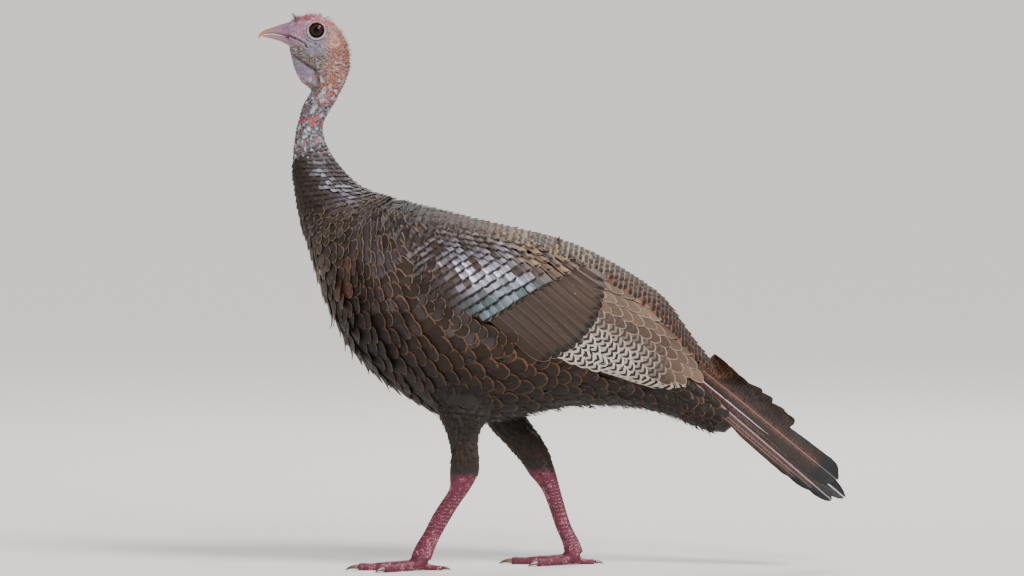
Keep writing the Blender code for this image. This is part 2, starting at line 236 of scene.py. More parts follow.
def catmull(points, where):
    # smooth curve through rows of numbers, at places counted in rows
    points = np.asarray(points, dtype=float)
    i = np.clip(np.floor(where).astype(int), 0, len(points) - 2)
    t = (where - i)[:, None]
    p0 = points[np.clip(i - 1, 0, None)]
    p1 = points[i]
    p2 = points[i + 1]
    p3 = points[np.clip(i + 2, None, len(points) - 1)]
    return 0.5 * (2 * p1 + (p2 - p0) * t + (2 * p0 - 5 * p1 + 4 * p2 - p3) * t**2
                  + (3 * p1 - p0 - 3 * p2 + p3) * t**3)


def smoothGrid(grid, wraps, times):
    for _ in range(times):
        padded = np.concatenate([2 * grid[:1] - grid[1:2], grid, 2 * grid[-1:] - grid[-2:-1]])
        grid = (padded[:-2] + 2 * padded[1:-1] + padded[2:]) / 4
        if wraps:
            grid = (np.roll(grid, 1, 1) + 2 * grid + np.roll(grid, -1, 1)) / 4
        else:
            padded = np.concatenate([grid[:, :1], grid, grid[:, -1:]], axis=1)
            grid = (padded[:, :-2] + 2 * padded[:, 1:-1] + padded[:, 2:]) / 4
    return grid


def ringMap(stations, nodes, rows, columns, acrossCentre=0.0):
    # each station is a front and a back point in the middle plane; rays from the line
    # between them find the ring, which starts at the front and runs over the -Y side
    tree = treeOf(*nodes)
    fine = 4 * columns
    lines = catmull(stations, np.linspace(0, len(stations) - 1, rows))
    grid = np.empty((rows, columns, 3))
    for i, (fx, fz, bx, bz) in enumerate(lines):
        front, back = Vector((fx, acrossCentre, fz)), Vector((bx, acrossCentre, bz))
        centre, axis = (front + back) / 2, (front - back) / 2
        side = tree.ray_cast(centre, Vector((0, -1, 0)))[0]
        wide = (centre - side).length if side else axis.length * 0.6
        ring = []
        for k in range(fine):
            angle = 2 * math.pi * k / fine
            ray = axis * math.cos(angle) + Vector((0, -wide, 0)) * math.sin(angle)
            hit = tree.ray_cast(centre, ray.normalized())[0]
            ring.append(hit if hit else centre + ray)
        ring = np.array(ring)
        steps = np.linalg.norm(np.roll(ring, -1, 0) - ring, axis=1)
        travelled = np.concatenate([[0], np.cumsum(steps)])
        wanted = np.arange(columns) / columns * travelled[-1]
        closed = np.vstack([ring, ring[:1]])
        for axisIndex in range(3):
            grid[i, :, axisIndex] = np.interp(wanted, travelled, closed[:, axisIndex])
    grid = smoothGrid(grid, True, 2)
    outward = grid - grid.mean(axis=1, keepdims=True)
    return SurfaceMap(grid, True, outward)


def sideMap(start, end, low, high, nodes, side, step, smoothing=3):
    # a map seen square from one side: rows along start to end, columns from low to high,
    # which are distances below and above that line
    tree = treeOf(*nodes)
    axis = end - start
    length = np.linalg.norm(axis)
    axis = axis / length
    up = np.array([-axis[2], 0, axis[0]])
    rows, columns = int(length / step) + 1, int((high - low) / step) + 1
    grid = np.empty((rows, columns, 3))
    missed = np.zeros((rows, columns), dtype=bool)
    for i in range(rows):
        for j in range(columns):
            place = start + axis * (length * i / (rows - 1)) + up * (low + (high - low) * j / (columns - 1))
            hit = tree.ray_cast(Vector((place[0], side * 0.5, place[2])), Vector((0, -side, 0)))[0]
            grid[i, j] = (place[0], hit.y if hit else 0, place[2])
            missed[i, j] = hit is None or hit.y * side < 0
    sound = (~missed).astype(float)
    # where nothing was hit, the surface carries on from its neighbours
    for _ in range(60):
        if not missed.any():
            break
        known = np.where(missed, 0.0, 1.0)
        total, weight = np.zeros(missed.shape), np.zeros(missed.shape)
        for shift, edge in ((1, 0), (-1, 0), (1, 1), (-1, 1)):
            total += np.roll(grid[:, :, 1] * known, shift, edge)
            weight += np.roll(known, shift, edge)
        fill = missed & (weight > 0)
        grid[fill, 1] = total[fill] / weight[fill]
        missed = missed & ~fill
    grid[:, :, 1] = smoothGrid(grid[:, :, 1:2], False, smoothing)[:, :, 0]
    outward = np.zeros_like(grid)
    outward[:, :, 1] = side
    found = SurfaceMap(grid, False, outward)
    found.sound = sound * (np.abs(found.normal[:, :, 1]) > 0.22)
    return found


# where feather rows run round the neck and trunk: node, then shares of its box for the
# ring's front (throat, breast, belly) and back (nape, mantle, rump)
bodyRings = (
    ("neck_upper", 0.13, 0.25, 0.55, 0.25),
    ("neck_lower", 0.03, 0.975, 0.34, 1.00),
    ("neck_lower", 0.00, 0.80, 0.42, 0.83),
    ("neck_lower", 0.00, 0.61, 0.57, 0.61),
    ("neck_lower", 0.02, 0.365, 0.75, 0.436),
    ("trunk", 0.00, 0.885, 0.198, 1.00),
    ("trunk", 0.033, 0.66, 0.221, 0.99),
    ("trunk", 0.085, 0.427, 0.255, 0.972),
    ("trunk", 0.155, 0.26, 0.296, 0.951),
    ("trunk", 0.24, 0.139, 0.362, 0.92),
    ("trunk", 0.334, 0.0625, 0.443, 0.885),
    ("trunk", 0.428, 0.035, 0.532, 0.847),
    ("trunk", 0.532, 0.0625, 0.62, 0.80),
    ("trunk", 0.626, 0.097, 0.696, 0.736),
    ("trunk", 0.72, 0.104, 0.767, 0.653),
    ("trunk", 0.805, 0.087, 0.831, 0.566),
    ("trunk", 0.88, 0.04, 0.886, 0.42),
    ("trunk", 0.946, 0.02, 0.939, 0.30),
)


def makeBodyMap():
    lines = []
    for node, fx, fz, bx, bz in bodyRings:
        front, back = inBox(node, fx, fz), inBox(node, bx, bz)
        lines.append((front[0], front[2], back[0], back[2]))
    return ringMap(lines, ("neck_upper", "neck_lower", "trunk"), 220, 144)


bodyMap = makeBodyMap()
print("body map made")


def vaneShape(rows, columns, rootWidth, widest, tipPower):
    # shares along and across, half width and edge distance of a vane of unit size
    t = np.linspace(0, 1, rows + 1)
    v = 1 - (1 - t) ** 1.5
    rise = rootWidth + (1 - rootWidth) * np.clip(v / widest, 0, 1) ** 0.8
    past = np.clip((v - widest) / (1 - widest), 0, 1)
    fall = (1 - past**tipPower) ** 0.5
    half = np.maximum(np.minimum(rise, fall), 0.13)
    w = np.linspace(-1, 1, columns + 1)
    w = np.sign(w) * np.abs(w) ** 0.9
    return v, w, half


def vaneFaces(rows, columns):
    # the top as quads, and an underside that joins its rim to one line of points below
    wide = columns + 1
    top = rows * wide + wide
    middle = columns // 2
    faces = []
    for r in range(rows):
        for c in range(columns):
            faces.append((r * wide + c, r * wide + c + 1, (r + 1) * wide + c + 1, (r + 1) * wide + c))
    under = {r: top + r - 1 for r in range(1, rows)}
    for r in range(1, rows - 1):
        left, right = r * wide, r * wide + columns
        faces.append((left, left + wide, under[r + 1], under[r]))
        faces.append((under[r], under[r + 1], right + wide, right))
    for c in range(columns):
        faces.append((c + 1, c, under[1]))
        last = rows * wide
        faces.append((last + c, last + c + 1, under[rows - 1]))
    faces.append((0, wide, under[1]))
    faces.append((wide + columns, columns, under[1]))
    low = (rows - 1) * wide
    faces.append((low, low + wide, under[rows - 1]))
    faces.append((low + wide + columns, low + columns, under[rows - 1]))
    return faces, top, under, middle


def layVanes(surface, s, a, length, width, look, yaw=0.0, liftRoot=-6.0, liftTip=-0.5, curl=0.0):
    # all lengths in metres but lifts and curl in mm; s, a, length, width, yaw, liftTip may be arrays
    rows, columns = look["cells"]
    count = len(s)
    v, w, half = vaneShape(rows, columns, look["rootWidth"], look["widest"], look["tipPower"])
    faces, topCount, under, middle = vaneFaces(rows, columns)
    spread = [np.broadcast_to(np.asarray(x, dtype=float), (count,)) for x in
              (length, width, yaw, liftRoot, liftTip, curl)]
    length, width, yaw, liftRoot, liftTip, curl = spread
    ragged = 1 + look["ragged"] * rng.normal(size=(count, rows + 1, 1))
    alongLocal = v[None, :, None] * length[:, None, None] * np.ones((1, 1, len(w)))
    tipWear = look["ragged"] * 0.35 * rng.normal(size=(count, 1, len(w)))
    alongLocal = alongLocal * (1 + tipWear * (v[None, :, None] ** 6))
    acrossLocal = w[None, None, :] * half[None, :, None] * width[:, None, None] / 2 * ragged
    bend = (look.get("sickle", 0.0) * v**2)[None, :, None] * width[:, None, None]
    acrossMoved = acrossLocal + bend * np.sign(0.5 - (a % 1.0))[:, None, None]
    cosine, sine = np.cos(yaw)[:, None, None], np.sin(yaw)[:, None, None]
    ds = alongLocal * cosine - acrossMoved * sine
    da = alongLocal * sine + acrossMoved * cosine
    inner = np.clip(s, 0.01, 0.99)
    sScale = surface.sample(surface.alongLength, inner, a)[:, None, None]
    aScale = surface.sample(surface.acrossLength, inner, a)[:, None, None]
    sAt = s[:, None, None] + ds / sScale
    aAt = a[:, None, None] + da / aScale
    base = surface.sample(surface.grid, sAt, aAt)
    normal = surface.sample(surface.normal, sAt, aAt)
    normal /= np.linalg.norm(normal, axis=-1, keepdims=True)
    rise = look.get("rise", 0.75)
    height = liftRoot[:, None, None] + (liftTip - liftRoot)[:, None, None] * v[None, :, None] ** rise
    height = height + curl[:, None, None] * v[None, :, None] ** 4
    camber = look["camber"] * (width[:, None, None] / mm) * half[None, :, None] * w[None, None, :] ** 2
    ridge = look["shaft"] * np.exp(-(w / 0.12) ** 2)[None, None, :] * (1 - v[None, :, None] * 0.7)
    top = base + normal * ((height - camber + ridge) * mm)[..., None]
    below = top[:, 1:rows, middle] - normal[:, 1:rows, middle] * (look["thick"] * mm)
    facing = np.cross(top[:, 1, middle + 1] - top[:, 1, middle], top[:, 2, middle] - top[:, 1, middle])
    if np.sum(facing * normal[:, 1, middle]) < 0:
        faces = [face[::-1] for face in faces]
    points = np.concatenate([top.reshape(count, -1, 3), below], axis=1)
    # what the finishes read: place on the vane in mm, distance from the edge in mm
    uTop = acrossLocal / mm
    vTop = alongLocal / mm
    sideEdge = (1 - np.abs(w))[None, None, :] * half[None, :, None] * width[:, None, None] / 2 / mm
    tipEdge = (1 - v)[None, :, None] * length[:, None, None] / mm
    edge = np.minimum(sideEdge, tipEdge + 0 * sideEdge)
    vane = {
        "points": points,
        "faces": faces,
        "u": np.concatenate([uTop.reshape(count, -1), np.zeros((count, rows - 1))], axis=1),
        "v": np.concatenate([vTop.reshape(count, -1), vTop[:, 1:rows, middle]], axis=1),
        "edge": np.concatenate([edge.reshape(count, -1), edge[:, 1:rows, middle]], axis=1),
        "share": np.concatenate([
            np.broadcast_to(v[:, None], (rows + 1, len(w))).reshape(-1), v[1:rows]]),
        "acrossShare": np.concatenate([
            np.broadcast_to(w[None, :], (rows + 1, len(w))).reshape(-1), np.zeros(rows - 1)]),
        "s": s,
        "a": a % 1.0 if surface.wraps else a,
        "length": length,
    }
    return vane


def paintVanes(vane, tone, rim, rimWidth, gloss=None, pattern=1.0):
    # colours of each feather: tone and rim are arrays of linear colours, rimWidth in mm;
    # pattern is how strongly it is barred
    count = len(vane["s"])
    vane["tone"] = np.broadcast_to(tone, (count, 3))
    vane["rim"] = np.broadcast_to(rim, (count, 3))
    vane["rimWidth"] = np.broadcast_to(np.asarray(rimWidth, dtype=float), (count,))
    vane["gloss"] = np.broadcast_to(np.asarray(0.0 if gloss is None else gloss, dtype=float), (count,))
    vane["pattern"] = np.broadcast_to(np.asarray(pattern, dtype=float), (count,))
    return vane


def wideUv(vane, patch=0.003):
    # bake map: a small patch for each feather at its root's place on the unwrapped skin
    u = 0.01 + 0.98 * np.clip(vane["s"], 0, 1)[:, None] + patch * (vane["share"][None, :] - 0.5)
    v = 0.01 + 0.98 * np.clip(vane["a"], 0, 1)[:, None] + patch * 0.5 * vane["acrossShare"][None, :]
    return u, v


def buildPiece(name, batches, material, nodeName=None, uvRule=wideUv):
    # one joined mesh from batches of vanes, with the attributes that the finish reads
    points, uv, bake, tone, rim, values = [], [], [], [], [], []
    cornerLists, sizes, offset = [], [], 0
    for vane in batches:
        count, per = vane["points"].shape[:2]
        points.append(vane["points"].reshape(-1, 3))
        uv.append(np.stack([vane["u"], vane["v"]], axis=-1).reshape(-1, 2))
        bakeU, bakeV = uvRule(vane)
        bake.append(np.stack([bakeU, bakeV], axis=-1).reshape(-1, 2))
        chance = rng.random(count)
        each = lambda x: np.repeat(x, per, axis=0)
        tone.append(np.hstack([each(vane["tone"]), each(chance)[:, None]]))
        rim.append(np.hstack([each(vane["rim"]), each(vane["rimWidth"])[:, None]]))
        values.append(np.stack([vane["edge"].reshape(-1), each(vane["gloss"]),
                                each(vane["length"]) / mm, each(vane["pattern"])], axis=-1))
        flat = np.array([corner for face in vane["faces"] for corner in face])
        size = np.array([len(face) for face in vane["faces"]])
        starts = offset + np.arange(count)[:, None] * per
        cornerLists.append((starts + flat[None, :]).reshape(-1))
        sizes.append(np.tile(size, count))
        offset += count * per
    points, uv, bake = np.vstack(points), np.vstack(uv), np.vstack(bake)
    corners, sizes = np.concatenate(cornerLists), np.concatenate(sizes)
    mesh = bpy.data.meshes.new(name)
    mesh.vertices.add(len(points))
    mesh.vertices.foreach_set("co", points.reshape(-1).astype(np.float32))
    mesh.loops.add(len(corners))
    mesh.loops.foreach_set("vertex_index", corners.astype(np.int32))
    mesh.polygons.add(len(sizes))
    mesh.polygons.foreach_set("loop_start", (np.cumsum(sizes) - sizes).astype(np.int32))
    mesh.update(calc_edges=True)
    mesh.validate()
    for layerName, data in (("vane", uv), ("OFBake", bake)):
        layer = mesh.uv_layers.new(name=layerName)
        layer.data.foreach_set("uv", data[corners].reshape(-1).astype(np.float32))
    for layerName, data in (("tone", np.vstack(tone)), ("rim", np.vstack(rim))):
        layer = mesh.attributes.new(layerName, "FLOAT_COLOR", "POINT")
        layer.data.foreach_set("color", data.reshape(-1).astype(np.float32))
    values = np.vstack(values)
    for k, layerName in enumerate(("edgeMm", "gloss", "lengthMm", "pattern")):
        layer = mesh.attributes.new(layerName, "FLOAT", "POINT")
        layer.data.foreach_set("value", values[:, k].astype(np.float32))
    piece = bpy.data.objects.new(name, mesh)
    bpy.context.scene.collection.objects.link(piece)
    mesh.materials.append(material)
    mesh.shade_smooth()
    mesh.set_sharp_from_angle(angle=math.radians(55))
    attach(piece, "root")
    if nodeName:
        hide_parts(nodeName)
    triangles = int(np.sum(sizes - 2))
    print(name, "made,", triangles, "triangles")
    return piece


def staggeredRoots(surface, spacingAlong, spacingAcross, sRange, aRange=(0.0, 1.0), jitter=0.12):
    # rows of roots a set distance apart in mm, each row shifted by half a step; the spacing
    # functions take s and give mm
    sList, aList = [], []
    around = np.linspace(aRange[0], aRange[1], 8, endpoint=False)
    s, row = sRange[0], 0
    while s < sRange[1] and row < 400:
        inner = np.full(8, min(max(s, 0.01), 0.99))
        wide = float(np.mean(surface.sample(surface.acrossLength, inner, around))) * (aRange[1] - aRange[0])
        count = max(3, int(round(wide / (spacingAcross(s) * mm))))
        sList.append(np.full(count, s))
        aList.append(aRange[0] + (np.arange(count) + 0.5 * (row % 2)) / count * (aRange[1] - aRange[0]))
        along = float(np.mean(surface.sample(surface.alongLength, inner, around)))
        s += spacingAlong(s) * mm / along
        row += 1
    s, a = np.concatenate(sList), np.concatenate(aList)
    inner = np.clip(s, 0.01, 0.99)
    grid = np.zeros((len(s), 8))
    middle = surface.sample(surface.alongLength, inner[:, None] + grid, around[None, :] + grid)
    stepS = np.array([spacingAlong(x) for x in s]) * mm / middle.mean(axis=1)
    exposed = stepS * surface.sample(surface.alongLength, inner, a)
    stepA = np.array([spacingAcross(x) for x in s]) * mm / surface.sample(surface.acrossLength, inner, a)
    s = s + jitter * stepS * rng.normal(size=len(s))
    a = a + jitter * stepA * rng.normal(size=len(s))
    return s, a, exposed


# colours of the plumage, from the darkest brown to the palest edge
plumage = {
    "darkBrown": "#16100C",
    "breastBrown": "#35251A",
    "greyBrown": "#3A2E28",
    "tanEdge": "#806A58",
    "chestnutEdge": "#7C5238",
    "lilacSilver": "#B3AEC0",
    "tealSheen": "#5F7E86",
    "pinkBrown": "#503C32",
    "palePink": "#9C806C",
    "buff": "#B5956C",
    "bronze": "#3E2F27",
    "white": "#D6CEC4",
    "rust": "#7E4A31",
}
shade = {name: np.array(linear(value)) for name, value in plumage.items()}


def mixTones(one, two, share):
    share = np.asarray(share)[..., None]
    return one * (1 - share) + two * share


toneDepth = 0.8        # feathers are this much darker than their palette colours, on average


def featherFinish(name, look):
    # keratin vane: fine oblique barbs either side of a shaft, a worn pale edge, soft sheen
    material, tree, shader = newMaterial(name)
    link = tree.links.new
    uv = addNode(tree, "ShaderNodeUVMap", {"uv_map": "vane"})
    parts = addNode(tree, "ShaderNodeSeparateXYZ", None, {0: uv.outputs[0]})
    tone = addNode(tree, "ShaderNodeAttribute", {"attribute_name": "tone"})
    rim = addNode(tree, "ShaderNodeAttribute", {"attribute_name": "rim"})
    edge = addNode(tree, "ShaderNodeAttribute", {"attribute_name": "edgeMm"})
    gloss = addNode(tree, "ShaderNodeAttribute", {"attribute_name": "gloss"})
    whole = addNode(tree, "ShaderNodeAttribute", {"attribute_name": "lengthMm"})
    pattern = addNode(tree, "ShaderNodeAttribute", {"attribute_name": "pattern"})
    maths, blend = mixers(tree)
    across = maths("ABSOLUTE", parts.outputs[0])
    tipMm = maths("SUBTRACT", whole.outputs["Fac"], parts.outputs[1])
    # barbs leave the shaft at an angle, so their phase grows along and across the vane
    phase = maths("SUBTRACT", parts.outputs[1], maths("MULTIPLY", across, look["barbSlant"]))
    shifted = addNode(tree, "ShaderNodeCombineXYZ", None, {
        0: parts.outputs[0], 1: parts.outputs[1], 2: maths("MULTIPLY", tone.outputs["Alpha"], 90.0)})
    wobble = addNode(tree, "ShaderNodeTexNoise", {"noise_dimensions": "3D"},
                     {"Vector": shifted.outputs[0], "Scale": 0.35, "Detail": 2.0})
    wave = maths("SINE", maths("ADD", maths("MULTIPLY", phase, 6.283 / look["barbMm"]),
                               maths("MULTIPLY", wobble.outputs[0], 9.0)))
    barbs = maths("MULTIPLY_ADD", wave, 0.5, 0.5)
    colour = tone.outputs["Color"]
    chance = tone.outputs["Alpha"]
    # each feather a little lighter or darker than the next
    value = maths("MULTIPLY_ADD", chance, look["vary"] * 2, toneDepth - look["vary"])
    colour = addNode(tree, "ShaderNodeHueSaturation", None, {"Value": value, "Color": colour}).outputs[0]
    if "coreColour" in look:
        # a broad warmer band along the shaft
        core = maths("SUBTRACT", 1.3, maths("DIVIDE", across, look["coreMm"]), clamp=True)
        colour = blend(maths("MULTIPLY", core, look["coreShare"]), colour, rgba(look["coreColour"]))
    if "barMm" in look:
        barPhase = maths("ADD", maths("MULTIPLY", maths("ADD", tipMm, maths(
            "MULTIPLY", across, look.get("barSlant", 0.25))), 6.283 / look["barMm"]),
            maths("MULTIPLY_ADD", chance, look.get("barChance", 6.283),
                  maths("MULTIPLY", wobble.outputs[0], look.get("barWobble", 3.0))))
        bars = maths("MULTIPLY_ADD", maths("SINE", barPhase), look.get("barHard", 2.5), 0.5, clamp=True)
        strength = maths("MULTIPLY", pattern.outputs["Fac"], look.get("barStrength", 1.0))
        colour = blend(maths("MULTIPLY", bars, strength), colour, rgba(look["barColour"]))
    # a dark band inside the edge all round, and another across the tip
    for key, distance in (("darkEdge", edge.outputs["Fac"]), ("tipBand", tipMm)):
        if key in look:
            inset = maths("MULTIPLY", rim.outputs["Alpha"], look.get("inset", 1.0))
            depth = maths("SUBTRACT", distance, inset)
            soft = maths("MULTIPLY_ADD", wobble.outputs[0], 0.5, 1.1)
            band = maths("SUBTRACT", soft, maths("DIVIDE", depth, look[key]), clamp=True)
            band = maths("MULTIPLY", band, look.get("bandHard", 1.6), clamp=True)
            colour = blend(maths("MULTIPLY", band, look.get("bandShare", 0.9)), colour,
                           rgba(look["bandColour"]))
    # worn edge, rimWidth millimetres wide and uneven, stronger at the tip than at the sides; on the leg scutes
    # this pale rim is a painted highlight
    uneven = maths("MULTIPLY_ADD", barbs, 0.35, maths("MULTIPLY_ADD", wobble.outputs[0], 0.9, 0.3))
    nearTip = maths("SUBTRACT", 1.35, maths("DIVIDE", tipMm, maths("MULTIPLY", whole.outputs["Fac"], 0.42)),
                    clamp=True)
    rimShare = maths("SUBTRACT", 1.4, maths("DIVIDE", edge.outputs["Fac"], maths(
        "MULTIPLY", rim.outputs["Alpha"], uneven)), clamp=True)
    rimShare = maths("MULTIPLY", rimShare, maths("MULTIPLY_ADD", nearTip, 0.75, 0.25))
    colour = blend(rimShare, colour, rim.outputs["Color"])
    colour = blend(maths("MULTIPLY", barbs, look["barbShade"]), colour, rgba("#060403"))
    # the shaft, a thin paler or darker line
    shaft = maths("SUBTRACT", 1.0, maths("DIVIDE", across, look["shaftMm"]), clamp=True)
    shaft = maths("MULTIPLY", shaft, look["shaftShare"])
    if "glossyShaft" in look:
        shaft = maths("MULTIPLY", shaft, gloss.outputs["Fac"], clamp=True)
    colour = blend(shaft, colour, rgba(look["shaftColour"]))
    link(colour, shader.inputs["Base Color"])
    rough = maths("MULTIPLY_ADD", gloss.outputs["Fac"], -0.26, look["roughness"])
    link(maths("MULTIPLY_ADD", barbs, 0.12, rough), shader.inputs["Roughness"])
    link(maths("MULTIPLY", gloss.outputs["Fac"], look.get("metal", 0.4)), shader.inputs["Metallic"])
    shader.inputs["Specular IOR Level"].default_value = 0.3
    shader.inputs["Sheen Weight"].default_value = look.get("sheen", 0.03)
    shader.inputs["Sheen Roughness"].default_value = 0.4
    relief = addNode(tree, "ShaderNodeBump", None,
                     {"Strength": 0.6, "Distance": 0.0003, "Height": barbs})
    link(relief.outputs[0], shader.inputs["Normal"])
    return material


fleshNodes = ("head", "neck_upper", "neck_lower", "trunk", "wing_left", "wing_right",
              "thigh_left", "thigh_right", "shank_left", "shank_right", "foot_left", "foot_right")
skinLook = {
    "voxelMm": 1.15,        # fine enough for lids, toes and folds
    "coatDepthMm": 8.0,     # how far the skin lies under the outer shape on the trunk
}


def applyModifier(thing, kind, **settings):
    bpy.context.view_layer.objects.active = thing
    modifier = thing.modifiers.new(kind.lower(), kind)
    for key, value in settings.items():
        setattr(modifier, key, value)
    bpy.ops.object.modifier_apply(modifier=modifier.name)


def readPoints(thing):
    coords = np.empty(len(thing.data.vertices) * 3)
    thing.data.vertices.foreach_get("co", coords)
    return coords.reshape(-1, 3)


def readNormals(thing):
    normals = np.empty(len(thing.data.vertices) * 3)
    thing.data.vertices.foreach_get("normal", normals)
    return normals.reshape(-1, 3)


def writePoints(thing, points):
    thing.data.vertices.foreach_set("co", points.reshape(-1).astype(np.float32))
    thing.data.update()


def mergedCopy(name, nodes, growMm):
    # copies of CAD nodes in one mesh, each merged and grown a little so that neighbours join
    thing = bpy.data.objects.new(name, bpy.data.meshes.new(name))
    bpy.context.scene.collection.objects.link(thing)
    whole = bmesh.new()
    for node in nodes:
        part = bmesh.new()
        part.from_mesh(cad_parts[node].data)
        bmesh.ops.remove_doubles(part, verts=part.verts, dist=0.00001)
        part.normal_update()
        for vertex in part.verts:
            vertex.co += vertex.normal * (growMm * mm)
        piece = bpy.data.meshes.new("part")
        part.to_mesh(piece)
        part.free()
        whole.from_mesh(piece)
    whole.to_mesh(thing.data)
    whole.free()
    return thing


def smoothPoints(thing, times, weights=None):
    # evens out facets: each point moves towards its neighbours' mean, and half way back
    mesh = thing.data
    edges = np.empty(len(mesh.edges) * 2, dtype=np.int64)
    mesh.edges.foreach_get("vertices", edges)
    one, two = edges.reshape(-1, 2).T
    points = readPoints(thing)
    degree = np.bincount(one, minlength=len(points)) + np.bincount(two, minlength=len(points))
    weights = np.ones(len(points)) if weights is None else weights
    for step in range(times):
        for factor in (0.6, -0.55):
            total = np.zeros_like(points)
            for axis in range(3):
                total[:, axis] = (np.bincount(one, points[two, axis], len(points))
                                  + np.bincount(two, points[one, axis], len(points)))
            mean = total / np.maximum(degree, 1)[:, None]
            points = points + (mean - points) * (factor * weights)[:, None]
    writePoints(thing, points)


def keepLargest(thing):
    # drops stray shells that the remesh leaves inside
    builder = bmesh.new()
    builder.from_mesh(thing.data)
    builder.verts.ensure_lookup_table()
    group = [-1] * len(builder.verts)
    sizes = []
    for seed in builder.verts:
        if group[seed.index] >= 0:
            continue
        group[seed.index] = len(sizes)
        stack, size = [seed], 0
        while stack:
            vertex = stack.pop()
            size += 1
            for edge in vertex.link_edges:
                other = edge.other_vert(vertex)
                if group[other.index] < 0:
                    group[other.index] = len(sizes)
                    stack.append(other)
        sizes.append(size)
    keep = sizes.index(max(sizes))
    if len(sizes) > 1:
        doomed = [v for v in builder.verts if group[v.index] != keep]
        bmesh.ops.delete(builder, geom=doomed, context="VERTS")
        builder.to_mesh(thing.data)
    builder.free()


def coatDepth(points):
    # how deep the skin lies under the outer shape, in mm: none where it is bare
    z, x = points[:, 2], points[:, 0]
    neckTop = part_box("neck_lower")[1][2]
    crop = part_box("trunk")[1][2]
    depth = skinLook["coatDepthMm"] * smoothStep(neckTop + 0.012, crop - 0.02, z)
    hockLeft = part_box("shank_left")[1][2]
    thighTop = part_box("thigh_left")[1][2]
    low = smoothStep(hockLeft - 0.012, thighTop - 0.03, z)
    depth = np.minimum(depth, skinLook["coatDepthMm"] * low)
    depth += 3.5 * bump(z, thighTop - 0.004, 0.016)
    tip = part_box("trunk")[1][0]
    return depth * (1 - 0.65 * smoothStep(tip - 0.09, tip, x))


def noiseAt(points, scaleMm, seed=0.0):
    # smooth noise, about -1 to 1, with spots some millimetres across
    scaled = points / (scaleMm * mm) + seed
    return np.array([noise.noise(Vector(point)) for point in scaled])


def nearLine(x, z, line):
    # distance in mm from places x, z to a bent line of x, z points
    best = np.full(len(x), 1e9)
    for (ax, az), (bx, bz) in zip(line[:-1], line[1:]):
        dx, dz = bx - ax, bz - az
        share = np.clip(((x - ax) * dx + (z - az) * dz) / (dx * dx + dz * dz), 0, 1)
        best = np.minimum(best, np.hypot(x - ax - dx * share, z - az - dz * share))
    return best / mm


eyeMiddle = (np.array(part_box("eye_left")[0]) + np.array(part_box("eye_left")[1])) / 2
headLook = {
    # places on the head, in mm back from and up from the eye
    "mouthLine": ((-34, -6), (-22, -11), (-14.5, -15.5), (-12, -20)),
    "jawFold": ((-30, -29), (-16, -39), (-2, -48), (2, -60)),
    "ear": (22.0, -14.5),
    "eyeRadius": 8.9,
    "eyeBulge": 4.6,
    "eyeSink": 12.6,        # the eyeball's middle from the bird's middle plane
}


def headPlace(pairs):
    return [(eyeMiddle[0] + x * mm, eyeMiddle[2] + z * mm) for x, z in pairs]


def sculptHead(skin):
    # lids, mouth line, jaw fold, ear, wrinkled nape and warty neck, by place on the head
    points, normals = readPoints(skin), readNormals(skin)
    headPart = np.nonzero(points[:, 2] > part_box("neck_lower")[1][2] - 0.035)[0]
    place = points[headPart]
    x, z = place[:, 0], place[:, 2]
    dx, dz = (x - eyeMiddle[0]) / mm, (z - eyeMiddle[2]) / mm
    fromEye = np.hypot(dx, dz)
    side = smoothStep(0.004, 0.009, np.abs(place[:, 1]))
    below, above = smoothStep(3, -6, dz), smoothStep(-3, 6, dz)
    height = side * (1.25 * bump(fromEye, 10.3, 1.1) * (0.75 + 0.5 * below)
                     - 0.8 * bump(fromEye, 12.6, 0.7) + 0.6 * bump(fromEye, 14.2, 0.9) * below
                     - 0.5 * bump(fromEye, 15.9, 0.7) * below + 0.9 * bump(fromEye, 13.5, 2.0) * above)
    height -= side * 1.5 * bump(nearLine(x, z, headPlace(headLook["mouthLine"])), 0, 0.9)
    height += side * 0.6 * bump(nearLine(x, z, headPlace(headLook["mouthLine"])), 2.4, 1.0)
    height -= side * 2.0 * bump(nearLine(x, z, headPlace(headLook["jawFold"])), 0, 1.7)
    earX, earZ = headPlace([headLook["ear"]])[0]
    fromEar = np.hypot(x - earX, z - earZ) / mm
    height += side * (0.7 * bump(fromEar, 5.0, 1.4) - 1.0 * bump(fromEar, 0, 2.2))
    nape = smoothStep(12, 20, dx - 0.16 * dz) * smoothStep(-4, -16, dz)
    neck = smoothStep(-56, -66, dz)
    sway = noiseAt(place, 9)
    wrinkle = np.sin(6.283 * (dz + 0.25 * dx + 4.0 * sway) / 5.6) * (0.6 + 0.8 * noiseAt(place, 6, 2.0))
    height += (0.6 * nape * (1 - neck) + 0.35 * neck) * wrinkle
    warts = np.abs(noiseAt(place, 3.1, 5.0)) ** 0.7
    height += (0.35 + 1.1 * neck + 0.5 * nape) * (0.55 - 1.4 * warts) * smoothStep(9, 13, fromEye)
    dewlap = smoothStep(-10, -24, dx) * smoothStep(-26, -32, dz)
    height += 0.5 * dewlap * np.sin(6.283 * (dz - 0.5 * dx + 2 * sway) / 3.8)
    height += 0.12 * noiseAt(place, 1.3, 9.0) * smoothStep(9, 12, fromEye)
    moved = place + normals[headPart] * (height * mm)[:, None]
    # inside the lids the skin drops behind the eyeball
    socket = smoothStep(9.3, 8.5, fromEye) * side
    flat = np.sign(moved[:, 1]) * np.minimum(np.abs(moved[:, 1]), (headLook["eyeSink"] + 0.2) * mm)
    moved[:, 1] = moved[:, 1] * (1 - socket) + flat * socket
    points[headPart] = moved
    writePoints(skin, points)
    relief = np.zeros(len(points))
    relief[headPart] = height
    return relief


